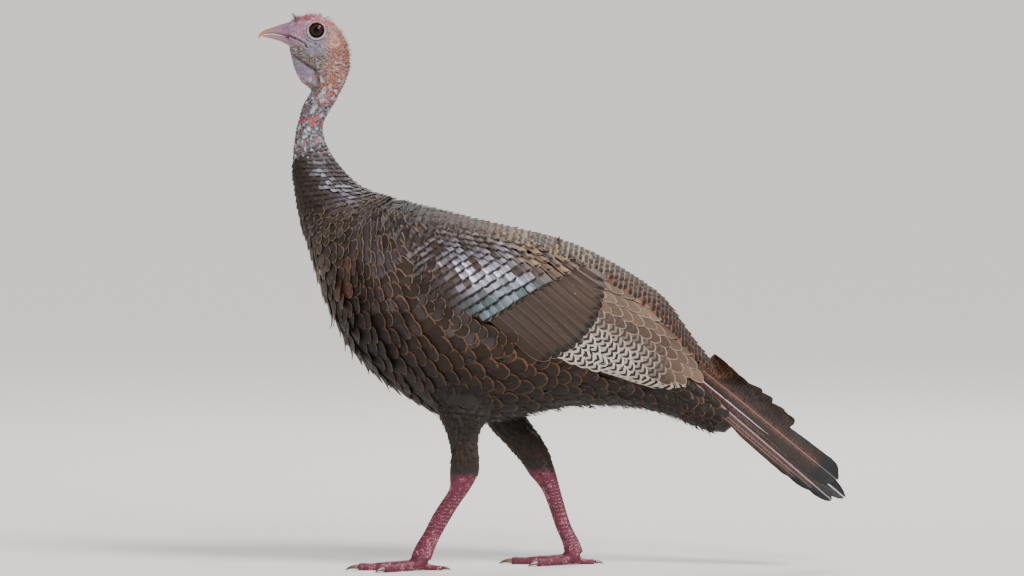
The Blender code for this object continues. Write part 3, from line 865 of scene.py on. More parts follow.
flesh = {
    "down": "#1E1712", "head": "#8E675F", "lores": "#A97A9C", "crown": "#B0404C", "lid": "#9FB4D2",
    "cheek": "#6A7086", "throat": "#4A4636", "dewlap": "#827DA2", "nape": "#8E4E3A", "ear": "#C9A684",
    "earRing": "#B4674F", "neck": "#3D434E", "leg": "#8E2B4C", "legDark": "#4A1D30", "mouth": "#5B3348",
}
tint = {name: np.array(linear(value)) * 0.52 for name, value in flesh.items()}


def paintSkin(skin, relief):
    # one colour for each point of the skin, and how strongly the pale warts and scales show
    points = readPoints(skin)
    x, z = points[:, 0], points[:, 2]
    dx, dz = (x - eyeMiddle[0]) / mm, (z - eyeMiddle[2]) / mm
    fromEye = np.hypot(dx, dz)
    colour = np.tile(tint["down"], (len(points), 1))
    warty, scaly = np.zeros(len(points)), np.zeros(len(points))
    head = np.nonzero(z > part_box("neck_lower")[1][2] - 0.05)[0]
    c, hx, hz, r = colour[head], dx[head], dz[head], fromEye[head]
    blot = noiseAt(points[head], 6.5)
    fine = noiseAt(points[head], 2.2, 3.0)
    hx2, hz2 = hx + 1.5 * blot, hz + 1.5 * blot
    onHead = smoothStep(-72, -60, hz2)
    c = mixTones(np.tile(tint["neck"], (len(c), 1)), tint["head"], onHead)
    for name, mask in (
        ("throat", smoothStep(-14, -24, hz2) * smoothStep(22, 12, hx2) * smoothStep(-66, -54, hz2)),
        ("nape", smoothStep(11, 19, hx2 - 0.16 * hz2) * smoothStep(-2, -16, hz2)
         * smoothStep(-88, -74, hz2)),
        ("crown", smoothStep(4, 10, hz2 + 0.15 * hx2) * smoothStep(-32, -20, hx2)),
        ("lores", smoothStep(-7, -14, hx2) * smoothStep(-20, -10, hz2) * smoothStep(14, 8, hz2)),
        ("cheek", smoothStep(-6, -14, hz2) * smoothStep(-34, -24, hz2) * smoothStep(-20, -10, hx2)
         * smoothStep(20, 10, hx2)),
        ("earRing", bump(np.hypot(hx2 - 22, hz2 + 15), 0, 11)),
        ("ear", bump(np.hypot(hx - 22, hz + 14.5), 0, 5)),
        ("dewlap", smoothStep(2, -4, nearSide(hx, hz)) * smoothStep(-22, -28, hz)
         * smoothStep(-66, -56, hz2)),
        ("lid", bump(r, 10.6, 1.5) * (0.2 + 0.7 * smoothStep(4, -4, hz))),
        ("cheek", 0.8 * bump(r, 13.0, 1.6) * smoothStep(16, 6, hx)),
        ("mouth", bump(nearLine(x[head], z[head], headPlace(headLook["mouthLine"])), 0, 1.2)),
        # painted shade: dark in the jaw fold's crease and round the rim of the eye's socket
        ("down", 0.8 * bump(nearLine(x[head], z[head], headPlace(headLook["jawFold"])), 0, 1.6)),
        ("down", 0.85 * bump(r, 8.9, 0.7)),
    ):
        c = mixTones(c, tint[name], np.clip(mask, 0, 1))
    # streaks of red and of pale blue run through the bare skin of the face
    streak = noiseAt(points[head] * np.array([1.0, 1.0, 2.2]), 4.2, 7.0)
    face = smoothStep(-60, -50, hz) * smoothStep(10.5, 12.5, r)
    c = mixTones(c, tint["crown"], 0.55 * face * smoothStep(0.1, 0.4, streak) * smoothStep(-18, -6, hz))
    c = mixTones(c, tint["lid"], 0.6 * face * smoothStep(-0.12, -0.4, streak) * smoothStep(22, 8, hx))
    # painted shade darkens the creases and a painted highlight lightens the tops of warts and wrinkles; creases
    # at the back of the head are also reddened
    lift = np.clip(relief[head], -1.2, 1.2)
    c = c * (1 + 0.28 * blot + 0.22 * fine + 0.5 * lift)[:, None]
    c = mixTones(c, tint["crown"] * 0.8, 0.5 * smoothStep(-0.2, -0.7, lift) * smoothStep(8, 16, hx))
    colour[head] = np.clip(c, 0.002, 1)
    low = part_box("neck_lower")[1][2]
    neckWarts = smoothStep(-50, -62, hz) * (1 - 0.6 * smoothStep(10, 22, hx + 0.45 * (hz + 60)))
    napeWarts = 0.5 * smoothStep(14, 20, hx) * smoothStep(-30, -45, hz)
    warty[head] = (neckWarts + napeWarts + 0.1) * smoothStep(low - 0.05, low - 0.02, z[head])
    for node in ("shank_left", "shank_right"):
        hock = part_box(node)[1][2]
        sideSign = 1 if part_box(node)[0][1] > 0 else -1
        leg = np.nonzero((z < hock + 0.02) & (points[:, 1] * sideSign > 0))[0]
        bare = smoothStep(hock + 0.004, hock - 0.006, z[leg])
        blot = noiseAt(points[leg], 7.0)
        legTone = mixTones(tint["leg"], tint["legDark"], np.clip(0.25 + 0.5 * blot, 0, 0.8))
        colour[leg] = mixTones(colour[leg], legTone, bare)
        scaly[leg] = bare
    layer = skin.data.attributes.new("fleshTone", "FLOAT_COLOR", "POINT")
    layer.data.foreach_set("color", np.hstack([colour, warty[:, None]]).reshape(-1).astype(np.float32))
    layer = skin.data.attributes.new("scaly", "FLOAT", "POINT")
    layer.data.foreach_set("value", scaly.astype(np.float32))


def nearSide(dx, dz):
    # negative in front of and under the jaw fold
    fold = np.array(headLook["jawFold"])
    return dx - np.interp(-dz, -fold[:, 1], fold[:, 0])


def makeSkinFinish():
    # bare turkey skin: moist, warty and faintly translucent; scaly and drier on the legs
    material, tree, shader = newMaterial("bareTurkeySkin")
    place = addNode(tree, "ShaderNodeTexCoord").outputs["Object"]
    tone = addNode(tree, "ShaderNodeAttribute", {"attribute_name": "fleshTone"})
    scaly = addNode(tree, "ShaderNodeAttribute", {"attribute_name": "scaly"})
    maths, blend = mixers(tree)
    bend = addNode(tree, "ShaderNodeTexNoise", None, {"Vector": place, "Scale": 180.0, "Detail": 3.0})
    warped = addNode(tree, "ShaderNodeVectorMath", {"operation": "MULTIPLY_ADD"},
                     {0: bend.outputs["Color"], 1: (0.007, 0.007, 0.012), 2: place})
    clump = addNode(tree, "ShaderNodeTexVoronoi", {"feature": "F1"},
                    {"Vector": warped.outputs[0], "Scale": 165.0})
    pebble = addNode(tree, "ShaderNodeTexVoronoi", {"feature": "F1"}, {"Vector": place, "Scale": 620.0})
    blots = addNode(tree, "ShaderNodeTexNoise", None, {"Vector": place, "Scale": 120.0, "Detail": 1.0})
    scales = addNode(tree, "ShaderNodeTexVoronoi", {"feature": "DISTANCE_TO_EDGE"},
                     {"Vector": place, "Scale": 330.0, "Randomness": 0.55})
    warty = tone.outputs["Alpha"]
    colour = tone.outputs["Color"]
    # pale blue-white warts with dark skin between them, and red creases
    top = maths("MULTIPLY_ADD", clump.outputs["Distance"], -3.0, 1.75, clamp=True)
    pale = maths("MULTIPLY", top, maths("MULTIPLY_ADD", bend.outputs[0], 4.0, -1.5, clamp=True))
    colour = blend(maths("MULTIPLY", pale, maths("MULTIPLY", warty, 0.8), clamp=True), colour,
                   rgba("#B0C8E0"))
    red = maths("MULTIPLY", maths("MULTIPLY_ADD", blots.outputs[0], 11.0, -6.3, clamp=True), warty)
    colour = blend(maths("MULTIPLY", red, 0.85, clamp=True), colour, rgba("#8E1B2B"))
    speck = maths("MULTIPLY_ADD", pebble.outputs["Distance"], -0.6, 0.42, clamp=True)
    bare = maths("MULTIPLY", maths("MULTIPLY", warty, 12.0, clamp=True),
                 maths("SUBTRACT", 1.0, scaly.outputs["Fac"]))
    colour = blend(maths("MULTIPLY", speck, bare), colour, rgba("#C9A69C"))
    # leg scales: dark seams, and a painted highlight in pale pink blotches on their middles
    seam = maths("SUBTRACT", 1.0, maths("MULTIPLY", scales.outputs["Distance"], 9.0), clamp=True)
    colour = blend(maths("MULTIPLY", maths("MULTIPLY", seam, 0.65), scaly.outputs["Fac"]), colour,
                   rgba("#35131F"))
    # painted highlight: pale pink on the middles of the leg scales
    paintedScaleHighlight = maths("MULTIPLY", maths("MULTIPLY_ADD", blots.outputs[0], 7.0, -3.7, clamp=True),
                maths("MULTIPLY_ADD", scales.outputs["Distance"], 5.0, -0.35, clamp=True))
    colour = blend(maths("MULTIPLY", paintedScaleHighlight, scaly.outputs["Fac"]), colour, rgba("#BE7488"))
    tree.links.new(colour, shader.inputs["Base Color"])
    tree.links.new(maths("MULTIPLY_ADD", bend.outputs[0], 0.25, 0.36), shader.inputs["Roughness"])
    shader.inputs["Specular IOR Level"].default_value = 0.4
    shader.inputs["Subsurface Weight"].default_value = 0.08
    shader.inputs["Subsurface Radius"].default_value = (1.0, 0.35, 0.2)
    shader.inputs["Subsurface Scale"].default_value = 0.003
    height = maths("ADD", maths("MULTIPLY", pebble.outputs["Distance"], -0.35),
                   maths("MULTIPLY", maths("MULTIPLY", scales.outputs["Distance"], 3.0, clamp=True),
                         scaly.outputs["Fac"]))
    relief = addNode(tree, "ShaderNodeBump", None, {"Strength": 0.7, "Distance": 0.0006, "Height": height})
    tree.links.new(relief.outputs[0], shader.inputs["Normal"])
    return material


def makeSkin(look):
    skin = mergedCopy("skin", fleshNodes, 0.4)
    applyModifier(skin, "REMESH", mode="VOXEL", voxel_size=look["voxelMm"] * 1.3 * mm)
    smoothPoints(skin, 6)
    points = readPoints(skin)
    depth = coatDepth(points)
    points = points - readNormals(skin) * (depth * mm)[:, None]
    writePoints(skin, points)
    smoothPoints(skin, 3, smoothStep(0, 3, depth))
    applyModifier(skin, "REMESH", mode="VOXEL", voxel_size=look["voxelMm"] * mm)
    keepLargest(skin)
    smoothPoints(skin, 4)
    print("skin remeshed,", len(skin.data.vertices), "points")
    points = readPoints(skin)
    # the feathered part needs few faces, as the coat hides it
    covered = smoothStep(1.5, 4.0, coatDepth(points))
    group = skin.vertex_groups.new(name="covered")
    level = np.round(covered * 10).astype(int)
    for value in range(1, 11):
        group.add(np.nonzero(level == value)[0].tolist(), value / 10, "REPLACE")
    applyModifier(skin, "DECIMATE", ratio=0.15, vertex_group="covered", vertex_group_factor=10.0)
    # the bare head is made finer, for its lids, warts and folds
    builder = bmesh.new()
    builder.from_mesh(skin.data)
    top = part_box("head")[0][2] + 0.025
    edges = [edge for edge in builder.edges if edge.verts[0].co.z > top and edge.verts[1].co.z > top]
    bmesh.ops.subdivide_edges(builder, edges=edges, cuts=1, use_grid_fill=True)
    bmesh.ops.triangulate(builder, faces=[face for face in builder.faces if len(face.verts) > 4])
    builder.to_mesh(skin.data)
    builder.free()
    headWeight = (readPoints(skin)[:, 2] > top - 0.01).astype(float)
    smoothPoints(skin, 2, headWeight)
    paintSkin(skin, sculptHead(skin))
    skin.data.materials.clear()
    skin.data.materials.append(makeSkinFinish())
    triangles = sum(len(face.vertices) - 2 for face in skin.data.polygons)
    print("skin finished,", triangles, "triangles")
    skin.data.shade_smooth()
    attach(skin, "root")
    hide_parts(*fleshNodes)
    return skin


skin = makeSkin(skinLook)


def makeEyes():
    # glass-like cornea over a dark brown iris
    material, tree, shader = newMaterial("wetDarkEye")
    ring = addNode(tree, "ShaderNodeAttribute", {"attribute_name": "ringMm"})
    streaks = addNode(tree, "ShaderNodeTexNoise", None, {
        "Vector": addNode(tree, "ShaderNodeTexCoord").outputs["Object"], "Scale": 900.0, "Detail": 3.0})
    ramp = addNode(tree, "ShaderNodeValToRGB", None, {0: addNode(
        tree, "ShaderNodeMath", {"operation": "DIVIDE"}, {0: ring.outputs["Fac"], 1: 9.0}).outputs[0]})
    stops = ((0.0, "#040303"), (0.40, "#060404"), (0.46, "#2A140C"), (0.72, "#3E2015"), (0.82, "#120A08"),
             (0.95, "#0D0908"))
    while len(ramp.color_ramp.elements) < len(stops):
        ramp.color_ramp.elements.new(0.5)
    for element, (share, value) in zip(ramp.color_ramp.elements, stops):
        element.position = share
        element.color = rgba(value)
    mixed = addNode(tree, "ShaderNodeMix", {"data_type": "RGBA", "blend_type": "MULTIPLY"},
                    {0: 0.5, 6: ramp.outputs[0], 7: streaks.outputs["Color"]})
    tree.links.new(mixed.outputs[2], shader.inputs["Base Color"])
    shader.inputs["Roughness"].default_value = 0.1
    shader.inputs["Specular IOR Level"].default_value = 0.1
    shader.inputs["Coat Weight"].default_value = 0.1
    shader.inputs["Coat Roughness"].default_value = 0.03
    for side, node in ((-1, "eye_left"), (1, "eye_right")):
        bpy.ops.mesh.primitive_uv_sphere_add(segments=48, ring_count=32, radius=1.0)
        eye = bpy.context.object
        eye.name = "leftEye" if side < 0 else "rightEye"
        points = readPoints(eye)
        # poles turned to look sideways, then flattened to a lens
        turned = np.column_stack([points[:, 0], points[:, 2], -points[:, 1]])
        radius = headLook["eyeRadius"]
        turned = turned * np.array([radius, headLook["eyeBulge"], radius]) * mm
        ringMm = np.hypot(turned[:, 0], turned[:, 2]) / mm
        # a slight bulge of the cornea over the iris
        turned[:, 1] *= 1 + 0.06 * bump(ringMm, 0, 4.5)
        writePoints(eye, turned + np.array([eyeMiddle[0], side * headLook["eyeSink"] * mm, eyeMiddle[2]]))
        layer = eye.data.attributes.new("ringMm", "FLOAT", "POINT")
        layer.data.foreach_set("value", ringMm.astype(np.float32))
        eye.data.materials.append(material)
        eye.data.shade_smooth()
        eye.select_set(False)
        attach(eye, "root")
        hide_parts(node)
    print("eyes made")


makeEyes()


def hornFinish(name, base, tip, node, between, roughness):
    # keratin horn: a waxy grain along its length, and another colour towards the tip
    material, tree, shader = newMaterial(name)
    place = addNode(tree, "ShaderNodeTexCoord").outputs["Object"]
    low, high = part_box(node)
    parts = addNode(tree, "ShaderNodeSeparateXYZ", None, {0: place})
    share = addNode(tree, "ShaderNodeMapRange", None, {
        "Value": parts.outputs[0], "From Min": low[0], "From Max": high[0]}).outputs[0]
    grain = addNode(tree, "ShaderNodeTexNoise", None, {
        "Vector": addNode(tree, "ShaderNodeMapping", None, {0: place, "Scale": (60, 500, 500)}).outputs[0],
        "Scale": 1.0, "Detail": 4.0})
    ramp = addNode(tree, "ShaderNodeValToRGB", None, {0: addNode(
        tree, "ShaderNodeMath", {"operation": "MULTIPLY_ADD"},
        {0: grain.outputs[0], 1: 0.25, 2: addNode(tree, "ShaderNodeMath", {"operation": "SUBTRACT"},
                                                {0: share, 1: 0.12}).outputs[0]}).outputs[0]})
    ramp.color_ramp.elements[0].color = rgba(tip)
    ramp.color_ramp.elements[1].color = rgba(base)
    middle = ramp.color_ramp.elements.new(0.45)
    middle.color = rgba(between)
    tree.links.new(ramp.outputs[0], shader.inputs["Base Color"])
    shader.inputs["Roughness"].default_value = roughness
    shader.inputs["Coat Weight"].default_value = 0.2
    relief = addNode(tree, "ShaderNodeBump", None, {"Strength": 0.25, "Distance": 0.0002,
                                                    "Height": grain.outputs[0]})
    tree.links.new(relief.outputs[0], shader.inputs["Normal"])
    return material


def smoothNode(node, name, material, voxelMm, rounds, shape=None):
    # a CAD node's form remeshed finely, smoothed and finished in horn
    piece = mergedCopy(name, (node,), 0.12)
    applyModifier(piece, "REMESH", mode="VOXEL", voxel_size=voxelMm * mm)
    smoothPoints(piece, rounds)
    if shape:
        shape(piece)
    piece.data.materials.clear()
    piece.data.materials.append(material)
    piece.data.shade_smooth()
    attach(piece, "root")
    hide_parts(node)
    return piece


def shapeBeak(piece):
    # nostril slit under its flap, and a soft cere towards the face
    points, normals = readPoints(piece), readNormals(piece)
    dx, dz = (points[:, 0] - eyeMiddle[0]) / mm, (points[:, 2] - eyeMiddle[2]) / mm
    side = smoothStep(0.0015, 0.004, np.abs(points[:, 1]))
    slit = nearLine(dx * mm, dz * mm, ((-41.5 * mm, 0.8 * mm), (-36.5 * mm, 3.4 * mm)))
    height = side * (-1.6 * bump(slit, 0, 1.1) + 0.7 * bump(slit, 2.3, 1.0) * (dz > 1.5))
    height += 0.3 * smoothStep(-44, -36, dx)
    moved = points + normals * (height * mm)[:, None]
    base = smoothStep(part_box("beak_upper")[1][0] - 0.0022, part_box("beak_upper")[1][0] - 0.0004, moved[:, 0])
    moved += normals * (0.0007 * base)[:, None]
    moved[:, 0] += 0.005 * base
    writePoints(piece, moved)


beakHorn = hornFinish("beakHorn", "#7A5A74", "#AE7A3C", "beak_upper", "#8F6870", 0.34)
smoothNode("beak_upper", "upperBeak", beakHorn, 0.42, 10, shapeBeak)
smoothNode("beak_lower", "lowerBeak", beakHorn, 0.42, 10, shapeBeak)
snoodFinish = hornFinish("snoodSkin", "#6F6478", "#5A4A57", "snood", "#7A6A7C", 0.5)
smoothNode("snood", "snoodBud", snoodFinish, 0.35, 6)
for sideName in ("left", "right"):
    for toe in ("inner", "middle", "outer", "hind"):
        node = "claw_" + toe + "_" + sideName
        clawHorn = hornFinish(node + "Horn", "#7A6152", "#2E2420", node, "#4B3B33", 0.4)
        smoothNode(node, toe + sideName.capitalize() + "Claw", clawHorn, 0.4, 6)
print("beak, snood and claws made")


contourLook = {
    "cells": (7, 6), "rootWidth": 0.5, "widest": 0.6, "tipPower": 2.6, "ragged": 0.03,
    "camber": 0.06, "shaft": 0.2, "thick": 0.35, "rise": 0.8,
}
smallLook = dict(contourLook, cells=(5, 4), camber=0.08, thick=0.25, widest=0.7, tipPower=3.5)
barredLook = dict(contourLook, cells=(6, 6), widest=0.72, tipPower=3.6, camber=0.05)
neckFinish = featherFinish("neckFeather", {
    "barbSlant": 1.1, "barbMm": 1.1, "barbShade": 0.25, "vary": 0.2, "roughness": 0.55,
    "shaftMm": 0.25, "shaftShare": 0.3, "shaftColour": "#1A130F",
    "tipBand": 1.3, "bandColour": "#120D0B", "inset": 0.7,
})
contourFinish = featherFinish("contourFeather", {
    "barbSlant": 1.1, "barbMm": 1.3, "barbShade": 0.25, "vary": 0.2, "roughness": 0.56,
    "shaftMm": 0.35, "shaftShare": 0.5, "shaftColour": "#1A120D",
    "tipBand": 2.6, "bandColour": "#1A1310", "bandShare": 0.75, "inset": 0.9,
})
mantleFinish = featherFinish("mantleFeather", {
    "barbSlant": 1.1, "barbMm": 1.2, "barbShade": 0.2, "vary": 0.18, "roughness": 0.5,
    "shaftMm": 0.3, "shaftShare": 0.4, "shaftColour": "#2B1D15",
    "tipBand": 2.8, "bandColour": "#0C0807", "bandHard": 3.0, "inset": 0.9,
})
rumpFinish = featherFinish("barredRumpFeather", {
    "barbSlant": 1.0, "barbMm": 1.2, "barbShade": 0.2, "vary": 0.14, "roughness": 0.55,
    "shaftMm": 0.3, "shaftShare": 0.3, "shaftColour": "#1C130E",
    "tipBand": 3.7, "bandColour": "#0A0706", "bandShare": 0.97, "bandHard": 4.0, "inset": 1.0,
})
downFinish = featherFinish("looseBellyFeather", {
    "barbSlant": 0.6, "barbMm": 1.1, "barbShade": 0.35, "vary": 0.25, "roughness": 0.85,
    "shaftMm": 0.3, "shaftShare": 0.3, "shaftColour": "#1A130E", "sheen": 0.3,
})
wingTrees = (treeOf("wing_left"), treeOf("wing_right"))


def underWing(points):
    # True where a place on the trunk is hidden by a folded wing
    hidden = np.zeros(len(points), dtype=bool)
    for side, tree in ((-1, wingTrees[0]), (1, wingTrees[1])):
        for k in np.nonzero(points[:, 1] * side > 0)[0]:
            start = Vector((points[k, 0], side * 0.5, points[k, 2]))
            hidden[k] = tree.ray_cast(start, Vector((0, -side, 0)))[0] is not None
    return hidden


def bodyTract(places, alongMm, acrossMm, sRange, aRange=(0.0, 1.0), jitter=0.1):
    # roots on the body, with the exposed length and the distance apart of each
    spacingAlong = lambda s: float(np.interp(s, places, alongMm))
    spacingAcross = lambda s: float(np.interp(s, places, acrossMm))
    s, a, exposed = staggeredRoots(bodyMap, spacingAlong, spacingAcross, sRange, aRange, jitter)
    apart = np.interp(s, places, acrossMm) * mm
    belly = np.cos(2 * np.pi * a)      # 1 at the front or belly, -1 at the back
    place = bodyMap.sample(bodyMap.grid, s, a)
    further = s + 0.9 * exposed / bodyMap.sample(bodyMap.alongLength, np.clip(s, 0.01, 0.99), a)
    shown = ~(underWing(place) & underWing(bodyMap.sample(bodyMap.grid, further, a)))
    return s[shown], a[shown] % 1.0, exposed[shown], apart[shown], belly[shown], place[shown]


def rootDepth(s):
    # how deep a feather's root sits, in mm, down to the skin
    return np.interp(s, [-0.05, 0.06, 0.15, 0.32], [-0.3, -1.4, -3.5, -6.5])


def bareFront(s, a):
    # the neck is bare down to here: lower at the front than at the nape
    return s < 0.125 * (0.5 + 0.5 * np.cos(2 * np.pi * a)) ** 0.8 - 0.01


def makeNeckFeathers():
    s, a, exposed, apart, belly, place = bodyTract(
        [0, 0.1, 0.2, 0.3], [4.0, 5.0, 6.0, 8.0], [4.2, 5.4, 7.0, 9.5], (-0.03, 0.29))
    keep = ~bareFront(s, a)
    s, a, exposed, apart, belly, place = (x[keep] for x in (s, a, exposed, apart, belly, place))
    count = len(s)
    patches = noiseAt(place, 13) + 0.5 * rng.normal(size=count)
    tone = mixTones(shade["greyBrown"], shade["breastBrown"], smoothStep(0.15, 0.28, s))
    # painted shade: darker towards the front of the neck
    tone = mixTones(tone, shade["darkBrown"], 0.6 * smoothStep(0.2, 0.9, belly))
    # silvery lilac lights on the side of the neck
    light = bump(s, 0.185, 0.06) * bump(belly, -0.25, 0.5) * smoothStep(-0.15, 0.6, patches)
    light = np.clip(light * 1.15 + 0.12 * bump(belly, -0.3, 0.5), 0, 0.95)
    tone = mixTones(tone, shade["lilacSilver"], light)
    rim = mixTones(shade["pinkBrown"], shade["tanEdge"], smoothStep(0.18, 0.3, s))
    vane = layVanes(bodyMap, s, a, exposed * 2.5, apart * 1.3, smallLook,
                    yaw=rng.normal(size=count) * 0.09, liftRoot=rootDepth(s),
                    liftTip=-0.1 + 0.35 * rng.normal(size=count), curl=0.2)
    paintVanes(vane, tone, rim, np.interp(s, [0, 0.29], [0.3, 0.6]), gloss=0.1 + light)
    buildPiece("neckFeathers", [vane], neckFinish)


def makeBreastFeathers():
    places = [0.24, 0.29, 0.36, 0.45, 0.55, 0.65, 0.8, 1.0]
    s, a, exposed, apart, belly, place = bodyTract(
        places, [6.6, 7.2, 8.4, 10.0, 12.5, 14.5, 15, 13], [8.4, 10, 14, 18, 22, 22, 19, 14],
        (0.262, 0.955))
    keep = (belly > -0.72) | (s < 0.3)
    s, a, exposed, apart, belly, place = (x[keep] for x in (s, a, exposed, apart, belly, place))
    count = len(s)
    sideSign = np.where(a < 0.5, 1.0, -1.0)
    side = np.abs(np.sin(2 * np.pi * a))
    # down the front the feathers hang, and over the side of the breast they point back
    turn = 1.2 * bump(s, 0.46, 0.2) * side
    yaw = turn * sideSign + rng.normal(size=count) * 0.08
    patches = noiseAt(place, 28) + 0.5 * rng.normal(size=count)
    # the lower front of the breast, and its rims, are darker: partly its own darker belly plumage, partly
    # painted shade
    low = smoothStep(0.35, 0.9, belly) * smoothStep(0.3, 0.45, s)
    tone = mixTones(shade["greyBrown"], shade["breastBrown"], smoothStep(0.28, 0.42, s))
    tone = mixTones(tone, shade["darkBrown"], 0.9 * low)
    # some feathers of the side shine pinkish or grey where they lie flat
    shine = np.clip(0.45 * bump(s, 0.36, 0.1) * bump(belly, -0.3, 0.5) + 0.3 * patches, 0, 0.8)
    shine = shine * (1 - low)
    tone = mixTones(tone, shade["lilacSilver"] * 0.55, 0.7 * shine)
    reddish = bump(s, 0.36, 0.05) * smoothStep(-0.1, 0.5, belly) * smoothStep(0.3, 0.8, patches)
    tone = mixTones(tone, shade["rust"], 0.55 * reddish)
    rim = mixTones(shade["tanEdge"], shade["chestnutEdge"], smoothStep(0.36, 0.55, s))
    rim = mixTones(rim, shade["breastBrown"], 0.7 * low)
    rimWidth = np.interp(s, [0.28, 0.4, 0.6, 1], [1.1, 1.8, 2.8, 2.0]) * (1 + 0.2 * patches)
    # a few breast feathers are ruffled and stand off the front
    ruffled = (belly > 0.45) & (s > 0.35) & (s < 0.48) & (rng.random(count) < 0.45)
    curl = np.where(ruffled, 6.0, 0.4)
    lift = -0.6 + 0.45 * rng.normal(size=count)
    for name, mask in (("breastFeathers", s < 0.52), ("flankFeathers", s >= 0.52)):
        vane = layVanes(bodyMap, s[mask], a[mask], (exposed * 2.5)[mask], (apart * 1.3)[mask], contourLook,
                        yaw=yaw[mask], liftRoot=rootDepth(s)[mask], liftTip=lift[mask], curl=curl[mask])
        paintVanes(vane, tone[mask], rim[mask], rimWidth[mask], gloss=(0.2 + shine)[mask])
        buildPiece(name, [vane], contourFinish)


def makeBackFeathers():
    # small close rows over the mantle, then the barred rump
    s, a, exposed, apart, belly, place = bodyTract(
        [0.27, 0.4, 0.65], [5.6, 7.0, 8.5], [7.5, 9.5, 13], (0.28, 0.66), (0.34, 0.66))
    count = len(s)
    patches = noiseAt(place, 20) + 0.5 * rng.normal(size=count)
    tone = mixTones(shade["greyBrown"], shade["pinkBrown"], smoothStep(0.33, 0.5, s))
    tone = mixTones(tone, shade["palePink"], 0.3 * smoothStep(0.0, 0.9, patches))
    tone = mixTones(tone, shade["buff"], 0.5 * smoothStep(0.52, 0.62, s))
    tone = tone * (0.55 + 0.45 * smoothStep(0.42, 0.52, s))[:, None]
    light = np.clip(0.2 * bump(s, 0.36, 0.1) * (0.3 + patches), 0, 0.4)
    tone = mixTones(tone, shade["lilacSilver"], light)
    mantle = layVanes(bodyMap, s, a, exposed * 2.7, apart * 1.35, barredLook,
                      yaw=rng.normal(size=count) * 0.07, liftRoot=rootDepth(s),
                      liftTip=0.1 + 0.3 * rng.normal(size=count), curl=0.3)
    rim = mixTones(shade["pinkBrown"], shade["palePink"], smoothStep(0.4, 0.56, s))
    paintVanes(mantle, tone, rim, 0.55, gloss=0.05 + light)
    buildPiece("mantleFeathers", [mantle], mantleFinish)

    s, a, exposed, apart, belly, place = bodyTract(
        [0.6, 0.8, 1.0], [7.2, 6.8, 6.4], [15, 14, 10], (0.62, 0.965), (0.3, 0.7), 0.05)
    count = len(s)
    patches = noiseAt(place, 22) + 0.4 * rng.normal(size=count)
    tone = mixTones(shade["buff"], shade["rust"], smoothStep(0.66, 0.8, s + 0.04 * patches))
    rim = mixTones(shade["palePink"], shade["chestnutEdge"], smoothStep(0.7, 0.85, s))
    rump = layVanes(bodyMap, s, a, exposed * 3.4, apart * 1.45, barredLook,
                    yaw=rng.normal(size=count) * 0.05, liftRoot=rootDepth(s),
                    liftTip=0.1 + 0.3 * rng.normal(size=count), curl=0.1)
    paintVanes(rump, tone, rim, 0.9, gloss=0.1)
    buildPiece("rumpFeathers", [rump], rumpFinish)


def makeBellyDown():
    # loose hair-like feathers under the belly and vent, dark with a few pale wisps
    count = 3400
    s = 0.55 + 0.41 * rng.random(count)
    a = rng.normal(size=count) * 0.09
    exposed = np.interp(s, [0.55, 0.8, 1], [22, 30, 22]) * mm
    length = exposed * (0.6 + 0.6 * rng.random(count))
    look = {"cells": (5, 2), "rootWidth": 0.6, "widest": 0.35, "tipPower": 1.3, "ragged": 0.08,
            "camber": 0.05, "shaft": 0.1, "thick": 0.35, "rise": 1.0}
    vane = layVanes(bodyMap, s, a, length, (1.5 + 1.5 * rng.random(count)) * mm, look,
                    yaw=rng.normal(size=count) * 0.4, liftRoot=-6.0,
                    liftTip=-2.2 + 2.4 * rng.random(count), curl=2.0 * rng.normal(size=count))
    wisp = (rng.random(count) < 0.14)[:, None]
    tone = np.where(wisp, shade["pinkBrown"] * 0.8, shade["darkBrown"])
    paintVanes(vane, tone, shade["greyBrown"], 0.3)
    buildPiece("bellyDown", [vane], downFinish)


makeNeckFeathers()
makeBreastFeathers()
makeBackFeathers()
makeBellyDown()
print("body feathers made")


# a folded wing is worked in p and q, millimetres back from the shoulder along the wing
# and up across it
wingLine = {"start": (0.0, 0.79), "end": (1.0, 0.085), "below": -90.0, "above": 105.0, "reach": 0.12}


def wingMap(node, side):
    start, end = inBox(node, *wingLine["start"]), inBox(node, *wingLine["end"])
    span = (end - start) * wingLine["reach"]
    return sideMap(start - span, end + span, wingLine["below"] * mm, wingLine["above"] * mm,
                   (node, "trunk", "tail"), side, 3.5 * mm)


def wingPlace(surface, p, q):
    # the map's s and a for a place p, q
    length = np.linalg.norm(surface.grid[-1, 0] - surface.grid[0, 0]) / mm
    clear = length * wingLine["reach"] / (1 + 2 * wingLine["reach"])
    return (p + clear) / length, (q - wingLine["below"]) / (wingLine["above"] - wingLine["below"])


def wingEdges(node):
    # the wing's lower and upper edge q at places p, read off the CAD solid
    start, end = inBox(node, *wingLine["start"]), inBox(node, *wingLine["end"])
    axis = (end - start) / np.linalg.norm(end - start)
    up = np.array([-axis[2], 0, axis[0]])
    points = nodeArrays(node)[0] - start
    p, q = points @ axis / mm, points @ up / mm
    low, high, used = [], [], []
    for place in np.arange(-10, 390, 12.0):
        near = np.abs(p - place) < 14
        if near.any():
            used.append(place)
            low.append(q[near].min())
            high.append(q[near].max())
    return np.array(used), np.array(low), np.array(high)


